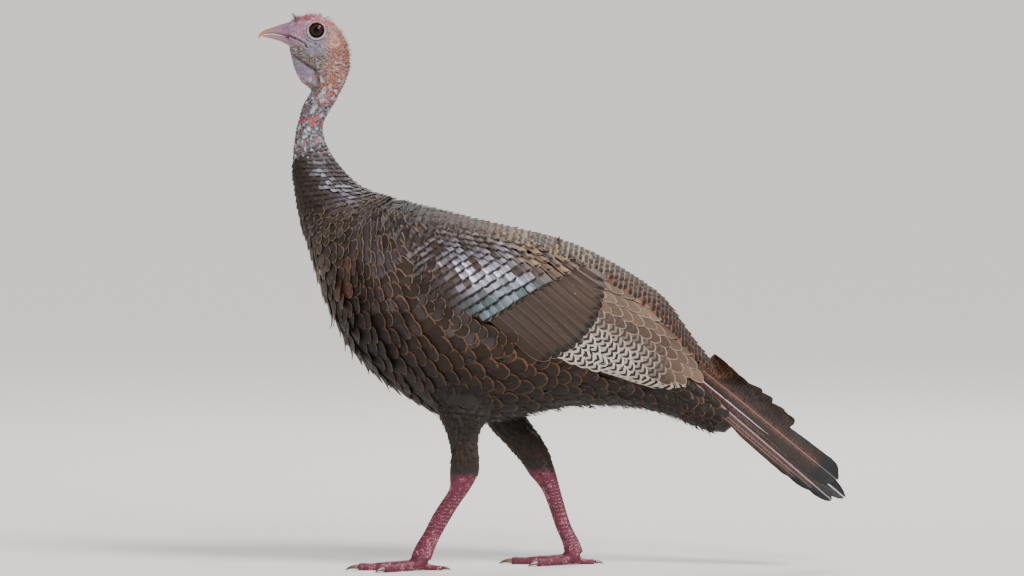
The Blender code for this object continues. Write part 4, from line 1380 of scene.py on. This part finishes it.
def slantRows(angle, rowRange, rowStep, columnRange, columnStep, jitter=0.06, bow=0.0):
    # staggered roots in rows across the direction angle, all in p and q; bow curves the rows
    flow = np.array([math.cos(angle), math.sin(angle)])
    across = np.array([-math.sin(angle), math.cos(angle)])
    found, r, k = [], rowRange[0], 0
    while r < rowRange[1]:
        t = np.arange(columnRange[0], columnRange[1], columnStep(r)) + (k % 2) * columnStep(r) / 2
        t = t + rng.normal(size=len(t)) * columnStep(r) * jitter
        rows = r + rng.normal(size=len(t)) * rowStep(r) * jitter + bow * (t / 60) ** 2
        found.append(np.column_stack([rows[:, None] * flow + t[:, None] * across,
                                      np.full(len(t), rowStep(r)), np.full(len(t), columnStep(r))]))
        r += rowStep(r)
        k += 1
    return np.vstack(found).T


squareLook = {
    "cells": (6, 6), "rootWidth": 0.8, "widest": 0.78, "tipPower": 5.0, "ragged": 0.025,
    "camber": 0.05, "shaft": 0.15, "thick": 0.35, "rise": 0.8,
}
covertFinish = featherFinish("silverCovertFeather", {
    # structural colour: lilac and teal that shines where the light falls
    "barbSlant": 1.2, "barbMm": 1.2, "barbShade": 0.14, "vary": 0.24, "roughness": 0.45,
    "shaftMm": 0.3, "shaftShare": 0.3, "shaftColour": "#3A3238", "metal": 0.6,
    "tipBand": 3.0, "bandColour": "#0D0A0A", "bandShare": 0.95, "bandHard": 1.8, "inset": 1.6,
})
bronzeFinish = featherFinish("bronzeCovertFeather", {
    "barbSlant": 1.3, "barbMm": 1.2, "barbShade": 0.18, "vary": 0.06, "roughness": 0.5,
    "shaftMm": 0.45, "shaftShare": 0.3, "shaftColour": "#8D7766", "metal": 0.3,
    "tipBand": 7.0, "bandColour": "#120D0B", "bandShare": 0.85, "inset": 1.2,
})
scallopFinish = featherFinish("scallopedFlightFeather", {
    "barbSlant": 1.2, "barbMm": 1.4, "barbShade": 0.28, "vary": 0.2, "roughness": 0.62,
    "shaftMm": 0.5, "shaftShare": 0.6, "shaftColour": "#33251D",
    "barMm": 7.5, "barColour": "#CFC6BB", "barHard": 2.5, "barWobble": 1.2, "barSlant": -0.7,
    "barChance": 1.2,
})
primaryFinish = featherFinish("barredPrimaryFeather", {
    "barbSlant": 1.2, "barbMm": 1.4, "barbShade": 0.2, "vary": 0.1, "roughness": 0.6,
    "shaftMm": 0.6, "shaftShare": 0.6, "shaftColour": "#2E231C",
    "barMm": 8.0, "barColour": "#C9BFB3", "barHard": 4.0, "barWobble": 1.2, "barSlant": -0.8,
})
flightLook = {"cells": (14, 6), "rootWidth": 0.8, "widest": 0.8, "tipPower": 2.0, "ragged": 0.01,
              "camber": 0.03, "shaft": 0.35, "thick": 0.5, "rise": 1.0}
scallopLook = {"cells": (8, 6), "rootWidth": 0.8, "widest": 0.6, "tipPower": 1.8, "ragged": 0.03,
               "camber": 0.05, "shaft": 0.25, "thick": 0.35, "rise": 0.9}
coverLook = {"cells": (12, 8), "rootWidth": 0.7, "widest": 0.74, "tipPower": 2.2, "ragged": 0.012,
             "camber": 0.022, "shaft": 0.3, "thick": 0.4, "rise": 0.7}


def makeWing(name, node, side):
    surface = wingMap(node, side)
    edgeP, edgeLow, edgeHigh = wingEdges(node)
    lowAt = lambda p: np.interp(p, edgeP, edgeLow)
    highAt = lambda p: np.interp(p, edgeP, edgeHigh)

    def sound(p, q):
        return surface.sample(surface.sound, *wingPlace(surface, p, q)) > 0.98

    def lay(p, q, length, width, look, **more):
        s, a = wingPlace(surface, p, q)
        return layVanes(surface, s, a, length * mm, width * mm, look, **more)

    # primaries: long, narrow and barred, stacked along the lower edge
    k = np.arange(7)
    tipP = 364 - 19.0 * k
    length = np.full(7, 165.0)
    tipQ = lowAt(tipP - 25) + 9.5 + 2.4 * k
    rootP, rootQ = tipP - length, lowAt(tipP - length + 20) + 14 + 2.4 * k
    yaw = np.arctan2(tipQ - rootQ, length)
    primaries = lay(rootP, rootQ, length, np.full(7, 22.0), flightLook, yaw=yaw,
                    liftRoot=-5.5 + 0.25 * k, liftTip=-4.2 + 0.35 * k)
    paintVanes(primaries, shade["breastBrown"] * 0.9, shade["white"], 0.8, gloss=0.1)
    buildPiece(name + "Primaries", [primaries], primaryFinish)

    # secondaries and tertials: long pale-edged scallops behind the bronze patch
    lie = -0.42
    p, q, rowMm, columnMm = slantRows(lie, (60, 372), lambda r: 14.5, (-110, 260), lambda r: 11.0)
    length, width = rowMm * 2.6, columnMm * 1.5
    tipP, tipQ = p + length * math.cos(lie), q + length * math.sin(lie)
    inside = (tipQ > lowAt(tipP) + 7) & (tipQ < highAt(tipP) - 2) & (tipP < edgeP.max() + 4) & (tipP > 185)
    inside &= sound(p, q) & sound(tipP, tipQ)
    p, q, length, width, tipP, tipQ = (x[inside] for x in (p, q, length, width, tipP, tipQ))
    pale = smoothStep(30, -22, tipQ + 0.12 * (tipP - 250)) * smoothStep(345, 280, tipP)
    tone = mixTones(shade["pinkBrown"] * 1.1, shade["breastBrown"] * 0.8, np.clip(0.1 + pale, 0, 0.9))
    upper = 0.45 * smoothStep(15, 45, tipQ) + 0.4 * smoothStep(325, 370, tipP)
    tone = mixTones(tone, shade["palePink"], upper)
    rim = mixTones(shade["palePink"] * 1.15, shade["white"], np.clip(0.15 + pale, 0, 1))
    secondaries = lay(p, q, length, width, scallopLook, yaw=lie + rng.normal(size=len(p)) * 0.04,
                      liftRoot=-4.6, liftTip=-1.6 + 0.2 * rng.normal(size=len(p)))
    paintVanes(secondaries, tone, rim, 1.0 + 1.0 * pale, gloss=0.15 * (1 - pale), pattern=pale * 0.85)
    buildPiece(name + "Secondaries", [secondaries], scallopFinish)

    # greater coverts: the smooth bronze patch with a rounded rear margin
    k = np.linspace(0, 1, 15)
    tipQ = 74 - 118 * k
    tipP = 188 + 34 * np.sin(np.pi * np.clip(k * 0.85 + 0.08, 0, 1)) ** 0.8 - 12 * k**4
    length = 62 + 42 * k
    angle = -0.55 + 0.2 * k
    p, q = tipP - length * np.cos(angle), tipQ - length * np.sin(angle)
    inside = sound(p, q) & sound(tipP, tipQ)
    p, q, k, length, angle = (x[inside] for x in (p, q, k, length, angle))
    coverts = lay(p, q, length, np.full(len(k), 27.0), coverLook,
                  yaw=angle + rng.normal(size=len(k)) * 0.015, liftRoot=-3.2, liftTip=0.0 - 0.3 * k)
    sheen = bump(k, 0.3, 0.3)
    tone = mixTones(shade["bronze"], shade["pinkBrown"], 0.7 * sheen)
    paintVanes(coverts, tone, shade["tanEdge"], 0.7, gloss=0.35 + 0.3 * sheen)
    buildPiece(name + "GreaterCoverts", [coverts], bronzeFinish)

    # lesser and median coverts: squarish, silver-lilac to teal, in slanting rows
    slant = -0.58
    p, q, rowMm, columnMm = slantRows(
        slant, (-75, 135), lambda r: float(np.interp(r, [-60, 0, 60, 110], [5.6, 7.4, 10.5, 14])),
        (-80, 200), lambda r: float(np.interp(r, [-60, 0, 60, 110], [6.8, 8.4, 10, 12])), 0.05, 3.0)
    length, width = rowMm * 2.5, columnMm * 1.2
    tipP, tipQ = p + length * math.cos(slant), q + length * math.sin(slant)
    border = (tipP - 104) * 0.73 - (tipQ + 19) * 0.68      # beyond it the bronze patch shows
    inside = (border < 3) & (tipQ > lowAt(tipP) + 8) & (tipQ < highAt(tipP) + 3) & (tipP > edgeP.min())
    inside &= sound(p, q) & sound(tipP, tipQ)
    p, q, length, width, border, tipP, tipQ = (
        x[inside] for x in (p, q, length, width, border, tipP, tipQ))
    place = surface.sample(surface.grid, *wingPlace(surface, tipP, tipQ))
    chance = noiseAt(place, 15) + 0.45 * rng.normal(size=len(p))
    # partly the coverts' own iridescent silver-lilac, partly a painted highlight in a broad patch
    silverColourAndHighlight = bump(tipQ, 16, 38) * bump(tipP, 82, 72) * smoothStep(-0.55, 0.45, chance)
    silverColourAndHighlight = np.clip(silverColourAndHighlight * 1.3, 0, 1)
    teal = smoothStep(-40, -8, border) * smoothStep(60, 5, tipQ)
    tone = mixTones(shade["pinkBrown"] * 0.85, shade["lilacSilver"], silverColourAndHighlight)
    tone = mixTones(tone, shade["tealSheen"], 0.6 * teal)
    high = smoothStep(30, 52, tipQ) * smoothStep(95, 140, tipP)
    tone = mixTones(tone, mixTones(shade["pinkBrown"], shade["buff"], smoothStep(-0.3, 0.8, chance)), high)
    brown = smoothStep(10, -16, tipQ) * smoothStep(95, 50, tipP)
    tone = mixTones(tone, shade["greyBrown"], brown)
    median = lay(p, q, length, width, squareLook, yaw=slant + rng.normal(size=len(p)) * 0.05,
                 liftRoot=-3.2, liftTip=0.3 + 0.25 * rng.normal(size=len(p)))
    rim = mixTones(shade["greyBrown"], shade["palePink"], 0.6 * high + 0.3)
    paintVanes(median, tone, rim, 0.5 + 0.5 * high, gloss=np.clip(0.2 + silverColourAndHighlight + 0.4 * teal - brown, 0, 1))
    buildPiece(name + "Coverts", [median], covertFinish)

    # breast and flank feathers that lap over the front and lower edge of the folded wing
    lie = 0.1
    p, q, rowMm, columnMm = slantRows(lie, (-30, 150), lambda r: 11.5, (-90, 90), lambda r: 14.5)
    length, width = rowMm * 2.6, columnMm * 1.35
    tipP, tipQ = p + length * math.cos(lie), q + length * math.sin(lie)
    shoulder = (tipP < 24) & (tipQ < 20)
    lower = (tipQ < lowAt(tipP) + 13 + 0.03 * (130 - tipP)) & (tipP < 150)
    inside = (shoulder | lower) & (tipQ > lowAt(tipP) - 12) & (tipQ < highAt(tipP) - 6) & sound(p, q)
    p, q, length, width = (x[inside] for x in (p, q, length, width))
    count = len(p)
    patches = rng.normal(size=count)
    tone = mixTones(shade["breastBrown"], shade["lilacSilver"] * 0.5, np.clip(0.25 * patches, 0, 0.6))
    lapping = lay(p, q, length, width, contourLook, yaw=lie + rng.normal(size=count) * 0.07,
                  liftRoot=-4.5, liftTip=0.5 + 0.3 * rng.normal(size=count), curl=0.2)
    rim = mixTones(shade["tanEdge"], shade["chestnutEdge"], smoothStep(30, 110, p))
    paintVanes(lapping, tone, rim, 1.1, gloss=0.2 + np.clip(0.2 * patches, 0, 0.6))
    buildPiece(name + "FlankFeathers", [lapping], contourFinish)


makeWing("leftWing", "wing_left", -1)
makeWing("rightWing", "wing_right", 1)
print("wings made")


tailLine = {"start": (-0.09, 1.21), "end": (0.99, 0.18), "below": -58.0, "above": 24.0, "reach": 0.1}
tailFinish = featherFinish("tailFeather", {
    # dark brown, finely and irregularly barred, warm beside the pale shaft, black near the tip
    "barbSlant": 1.2, "barbMm": 1.4, "barbShade": 0.2, "vary": 0.12, "roughness": 0.5,
    "shaftMm": 1.15, "shaftShare": 0.95, "shaftColour": "#BFB3C4", "glossyShaft": True, "metal": 0.15,
    "barMm": 3.6, "barColour": "#110C0A", "barHard": 1.8, "barStrength": 0.8, "barWobble": 17.0,
    "coreMm": 5.5, "coreShare": 0.75, "coreColour": "#6B3F2E",
    "tipBand": 26.0, "bandColour": "#0B0A0D", "bandHard": 3.0, "bandShare": 0.97, "inset": 1.0,
})
tailCovertFinish = featherFinish("tailCovertFeather", {
    "barbSlant": 1.1, "barbMm": 1.3, "barbShade": 0.25, "vary": 0.15, "roughness": 0.58,
    "shaftMm": 0.35, "shaftShare": 0.4, "shaftColour": "#15100D",
    "barMm": 4.2, "barColour": "#0F0B09", "barHard": 2.0, "barStrength": 0.8, "barWobble": 4.0,
})


def stripUv(row, rows):
    # a long feather has a strip of the bake map to itself
    def rule(vane):
        u = 0.01 + 0.98 * np.broadcast_to(vane["share"][None, :], vane["u"].shape)
        v = (row + 0.5 + 0.45 * np.broadcast_to(vane["acrossShare"][None, :], vane["u"].shape)) / rows
        return u, v
    return rule


def makeTail():
    start, end = inBox("tail", *tailLine["start"]), inBox("tail", *tailLine["end"])
    span = end - start
    below, above = tailLine["below"], tailLine["above"]
    total = np.linalg.norm(span) / mm
    length = total * (1 + tailLine["reach"])
    look = {"cells": (24, 8), "rootWidth": 0.45, "widest": 0.9, "tipPower": 3.0, "ragged": 0.014,
            "camber": 0.02, "shaft": 0.9, "thick": 0.6, "rise": 1.0}
    # from the ridge down: root across, tip along and across, width, height under the top, tip shape
    tracts = (
        (-6, 247, -5, 40, 0.3, 3.2), (-16, 268, -15, 22, -0.6, 1.4), (-24, 256, -27, 19, -1.2, 1.5),
        (-30, 227, -31, 17, -1.6, 1.4), (-34, 200, -34, 13, -2.0, 1.5),
    )
    coverts, under = [], []
    pieces = []
    for side in (-1, 1):
        surface = sideMap(start, end + span * tailLine["reach"], below * mm, above * mm, ("tail", "trunk"),
                          side, 3 * mm, smoothing=2)

        def lay(p, q, reachMm, width, look, **more):
            s, a = np.asarray(p) / length, (np.asarray(q) - below) / (above - below)
            return layVanes(surface, s, a, np.asarray(reachMm) * mm, np.asarray(width) * mm, look, **more)

        for q, tipP, tipQ, width, level, tipPower in tracts:
            rootP, rootQ = 24.0, q * 0.95
            reachP = np.array([tipP - rootP])
            yaw = np.arctan2(tipQ - rootQ, reachP)
            vane = lay([rootP], [rootQ], reachP, [width], dict(look, tipPower=tipPower), yaw=yaw,
                       liftRoot=level - 1.2, liftTip=level + 0.2)
            shows = {247: 0.2, 268: 1.0, 256: 0.5}.get(tipP, 0.15)
            paintVanes(vane, shade["breastBrown"] * 0.9, shade["darkBrown"], 0.5, gloss=shows)
            pieces.append(vane)
        # dark coverts lap over the ridge and along the root of the tail
        p, q, rowMm, columnMm = slantRows(0.0, (14, 126), lambda r: 8.5, (-4, 14), lambda r: 6.5, 0.12)
        vane = lay(p, q, rowMm * 3.0, columnMm * 1.9, barredLook, yaw=rng.normal(size=len(p)) * 0.08 + 0.06,
                   liftRoot=-2.4, liftTip=-0.2 + 0.3 * rng.normal(size=len(p)))
        near = smoothStep(60, 20, p)
        paintVanes(vane, mixTones(shade["breastBrown"], shade["rust"], 0.5 * near),
                   mixTones(shade["breastBrown"], shade["chestnutEdge"], near), 0.7, gloss=0.15)
        coverts.append(vane)
        # undertail coverts with a thin buff rim
        p, q, rowMm, columnMm = slantRows(0.0, (-14, 58), lambda r: 12, (-52, -30), lambda r: 7.0, 0.15)
        vane = lay(p, q, rowMm * 3.1, columnMm * 2.0, contourLook, yaw=rng.normal(size=len(p)) * 0.1 - 0.05,
                   liftRoot=-3.5, liftTip=-0.4 + 0.4 * rng.normal(size=len(p)))
        paintVanes(vane, shade["darkBrown"], mixTones(shade["breastBrown"], shade["chestnutEdge"],
                                                     rng.random(len(p))), 0.8, gloss=0.1)
        under.append(vane)
    rules = {id(vane): stripUv(k, len(pieces)) for k, vane in enumerate(pieces)}
    buildPiece("tailFeathers", pieces, tailFinish, "tail",
               lambda vane: rules[id(vane)](vane))
    buildPiece("uppertailCoverts", coverts, tailCovertFinish)
    buildPiece("undertailCoverts", under, contourFinish)


makeTail()
print("tail made")


# thigh rings: shares of the thigh's box for the front and back of each
thighRings = {
    "thigh_left": ((0.07, 1.04, 1.14, 1.04), (0.01, 0.75, 0.93, 0.67), (0.16, 0.50, 0.72, 0.50),
                   (0.24, 0.31, 0.70, 0.31), (0.23, 0.13, 0.72, 0.17), (0.24, 0.02, 0.69, 0.09)),
    "thigh_right": ((-0.04, 0.98, 0.80, 1.02), (0.08, 0.56, 0.61, 0.70), (0.32, 0.35, 0.81, 0.44),
                    (0.54, 0.15, 0.93, 0.26), (0.68, 0.02, 1.0, 0.08)),
}


def legMap(node, rings, nodes, rows, columns):
    lines = []
    for fx, fz, bx, bz in rings:
        front, back = inBox(node, fx, fz), inBox(node, bx, bz)
        lines.append((front[0], front[2], back[0], back[2]))
    low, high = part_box(node)
    return ringMap(lines, nodes, rows, columns, (low[1] + high[1]) / 2)


def makeThigh(name, node):
    surface = legMap(node, thighRings[node], (node,), 40, 48)
    s, a, exposed = staggeredRoots(surface, lambda s: float(np.interp(s, [0, 1], [8.5, 4.2])),
                                   lambda s: float(np.interp(s, [0, 1], [8.0, 4.2])), (-0.4, 0.93))
    count = len(s)
    tone = mixTones(shade["darkBrown"], shade["breastBrown"] * 0.9, smoothStep(0.1, 0.8, s))
    tone = mixTones(tone, shade["pinkBrown"] * 0.7, 0.5 * rng.random(count) ** 3)
    vane = layVanes(surface, s, a, exposed * 2.7, np.interp(s, [0, 1], [11.5, 6.0]) * mm, smallLook,
                    yaw=rng.normal(size=count) * 0.12, liftRoot=np.interp(s, [0, 1], [-4.0, -1.5]),
                    liftTip=-0.1 + 0.35 * rng.normal(size=count), curl=0.3)
    paintVanes(vane, tone, shade["pinkBrown"] * 0.8, np.interp(s, [0, 1], [0.6, 0.3]), gloss=0.1)
    buildPiece(name, [vane], neckFinish)


makeThigh("leftThighFeathers", "thigh_left")
makeThigh("rightThighFeathers", "thigh_right")
print("thigh feathers made")


shankRings = {
    "shank_left": ((0.59, 0.89, 1.01, 1.00), (0.56, 0.81, 0.87, 0.82), (0.44, 0.66, 0.72, 0.65),
                   (0.31, 0.50, 0.59, 0.48), (0.20, 0.33, 0.45, 0.29), (0.08, 0.17, 0.35, 0.12),
                   (0.02, 0.05, 0.30, 0.01)),
    "shank_right": ((0.01, 0.92, 0.48, 0.99), (0.21, 0.77, 0.55, 0.80), (0.35, 0.57, 0.65, 0.59),
                    (0.49, 0.30, 0.77, 0.33), (0.62, 0.13, 0.93, 0.15), (0.65, 0.01, 1.0, 0.03)),
}
scuteFinish = featherFinish("hornyLegScute", {
    # smooth horn plates with a painted highlight along a paler rim
    "barbSlant": 0.0, "barbMm": 2.5, "barbShade": 0.08, "vary": 0.25, "roughness": 0.42,
    "shaftMm": 0.01, "shaftShare": 0.0, "shaftColour": "#5A2436",
})
scuteLook = {"cells": (4, 6), "rootWidth": 0.95, "widest": 0.6, "tipPower": 4.0, "ragged": 0.015,
             "camber": 0.01, "shaft": 0.0, "thick": 0.3, "rise": 1.0}


def makeScutes(name, node):
    surface = legMap(node, shankRings[node], (node,), 50, 32)
    vanes = []
    for aMiddle, spacing, wide, tone in (
        (0.06, 5.6, 9.0, "leg"), (0.94, 5.6, 9.0, "leg"), (0.25, 3.9, 4.4, "legDark"),
        (0.75, 3.9, 4.4, "legDark"), (0.36, 3.9, 4.4, "leg"), (0.64, 3.9, 4.4, "leg"),
        (0.45, 4.6, 6.0, "legDark"), (0.55, 4.6, 6.0, "legDark"),
    ):
        along = float(surface.alongLength[:, 0].mean())
        s = np.arange(0.06 + 0.02 * rng.random(), 0.93, spacing * mm / along)
        a = np.full(len(s), aMiddle) + 0.008 * rng.normal(size=len(s))
        vane = layVanes(surface, s, a, np.full(len(s), spacing * 1.45 * mm),
                        wide * (1 + 0.08 * rng.normal(size=len(s))) * mm, scuteLook,
                        liftRoot=-0.4, liftTip=0.75)
        # painted highlight: the pale pink rim of each plate
        paintVanes(vane, mixTones(tint[tone], tint["leg"], rng.random(len(s))) * 1.2,
                   np.array(linear("#C88E9E")), 0.5, gloss=0.2)
        vanes.append(vane)
    buildPiece(name, vanes, scuteFinish)


makeScutes("leftShankScutes", "shank_left")
makeScutes("rightShankScutes", "shank_right")


def makeBristles():
    # sparse hair-like bristles on the crown, nape and throat, and a tuft over the beak
    points, normals = readPoints(skin), readNormals(skin)
    dx, dz = (points[:, 0] - eyeMiddle[0]) / mm, (points[:, 2] - eyeMiddle[2]) / mm
    crown = bump(dz, 18, 9) * (np.abs(points[:, 1]) < 0.013)
    nape = smoothStep(18, 30, dx) * smoothStep(-75, -50, dz)
    tuft = 5.0 * bump(np.hypot(dx + 25, dz - 15), 0, 4)
    throat = 0.15 * smoothStep(-12, -24, dx) * smoothStep(-75, -60, dz)
    weight = (0.5 * crown + nape + tuft + throat) * (dz > -95) * (np.hypot(dx, dz) > 11)
    chosen = rng.choice(len(points), 620, replace=False, p=weight / weight.sum())
    root, out = points[chosen], normals[chosen]
    count = len(chosen)
    lean = out + 0.45 * rng.normal(size=(count, 3)) + np.array([0.35, 0, 0.1])
    lean /= np.linalg.norm(lean, axis=1, keepdims=True)
    side = np.cross(lean, np.array([0.2, 1.0, 0.3]))
    side /= np.linalg.norm(side, axis=1, keepdims=True)
    other = np.cross(lean, side)
    length = (2.2 + 3.2 * rng.random(count))[:, None] * mm
    rings = []
    for share, radius in ((-0.15, 0.14), (0.45, 0.11), (0.8, 0.08)):
        middle = root + lean * length * share + out * length * 0.15 * share**2
        for turn in (0.0, 2.094, 4.189):
            rings.append(middle + (side * math.cos(turn) + other * math.sin(turn)) * radius * mm)
    rings.append(root + lean * length + out * length * 0.15)
    cloud = np.stack(rings, axis=1)
    faces = [(2, 1, 0)]
    for low in (0, 3):
        for j in range(3):
            k = (j + 1) % 3
            faces.append((low + j, low + k, low + 3 + k, low + 3 + j))
    faces += [(6 + j, 6 + (j + 1) % 3, 9) for j in range(3)]
    flat = np.zeros((count, 10))
    vane = {"points": cloud, "faces": faces, "u": flat, "v": flat, "edge": flat + 1.0,
            "share": np.zeros(10), "acrossShare": np.zeros(10),
            "s": np.clip(0.5 + dx[chosen] / 200, 0, 1), "a": np.clip(0.5 + dz[chosen] / 250, 0, 1),
            "length": length[:, 0]}
    paintVanes(vane, shade["darkBrown"], shade["darkBrown"], 0.1)
    buildPiece("headBristles", [vane], downFinish)


makeBristles()
print("scutes and bristles made")
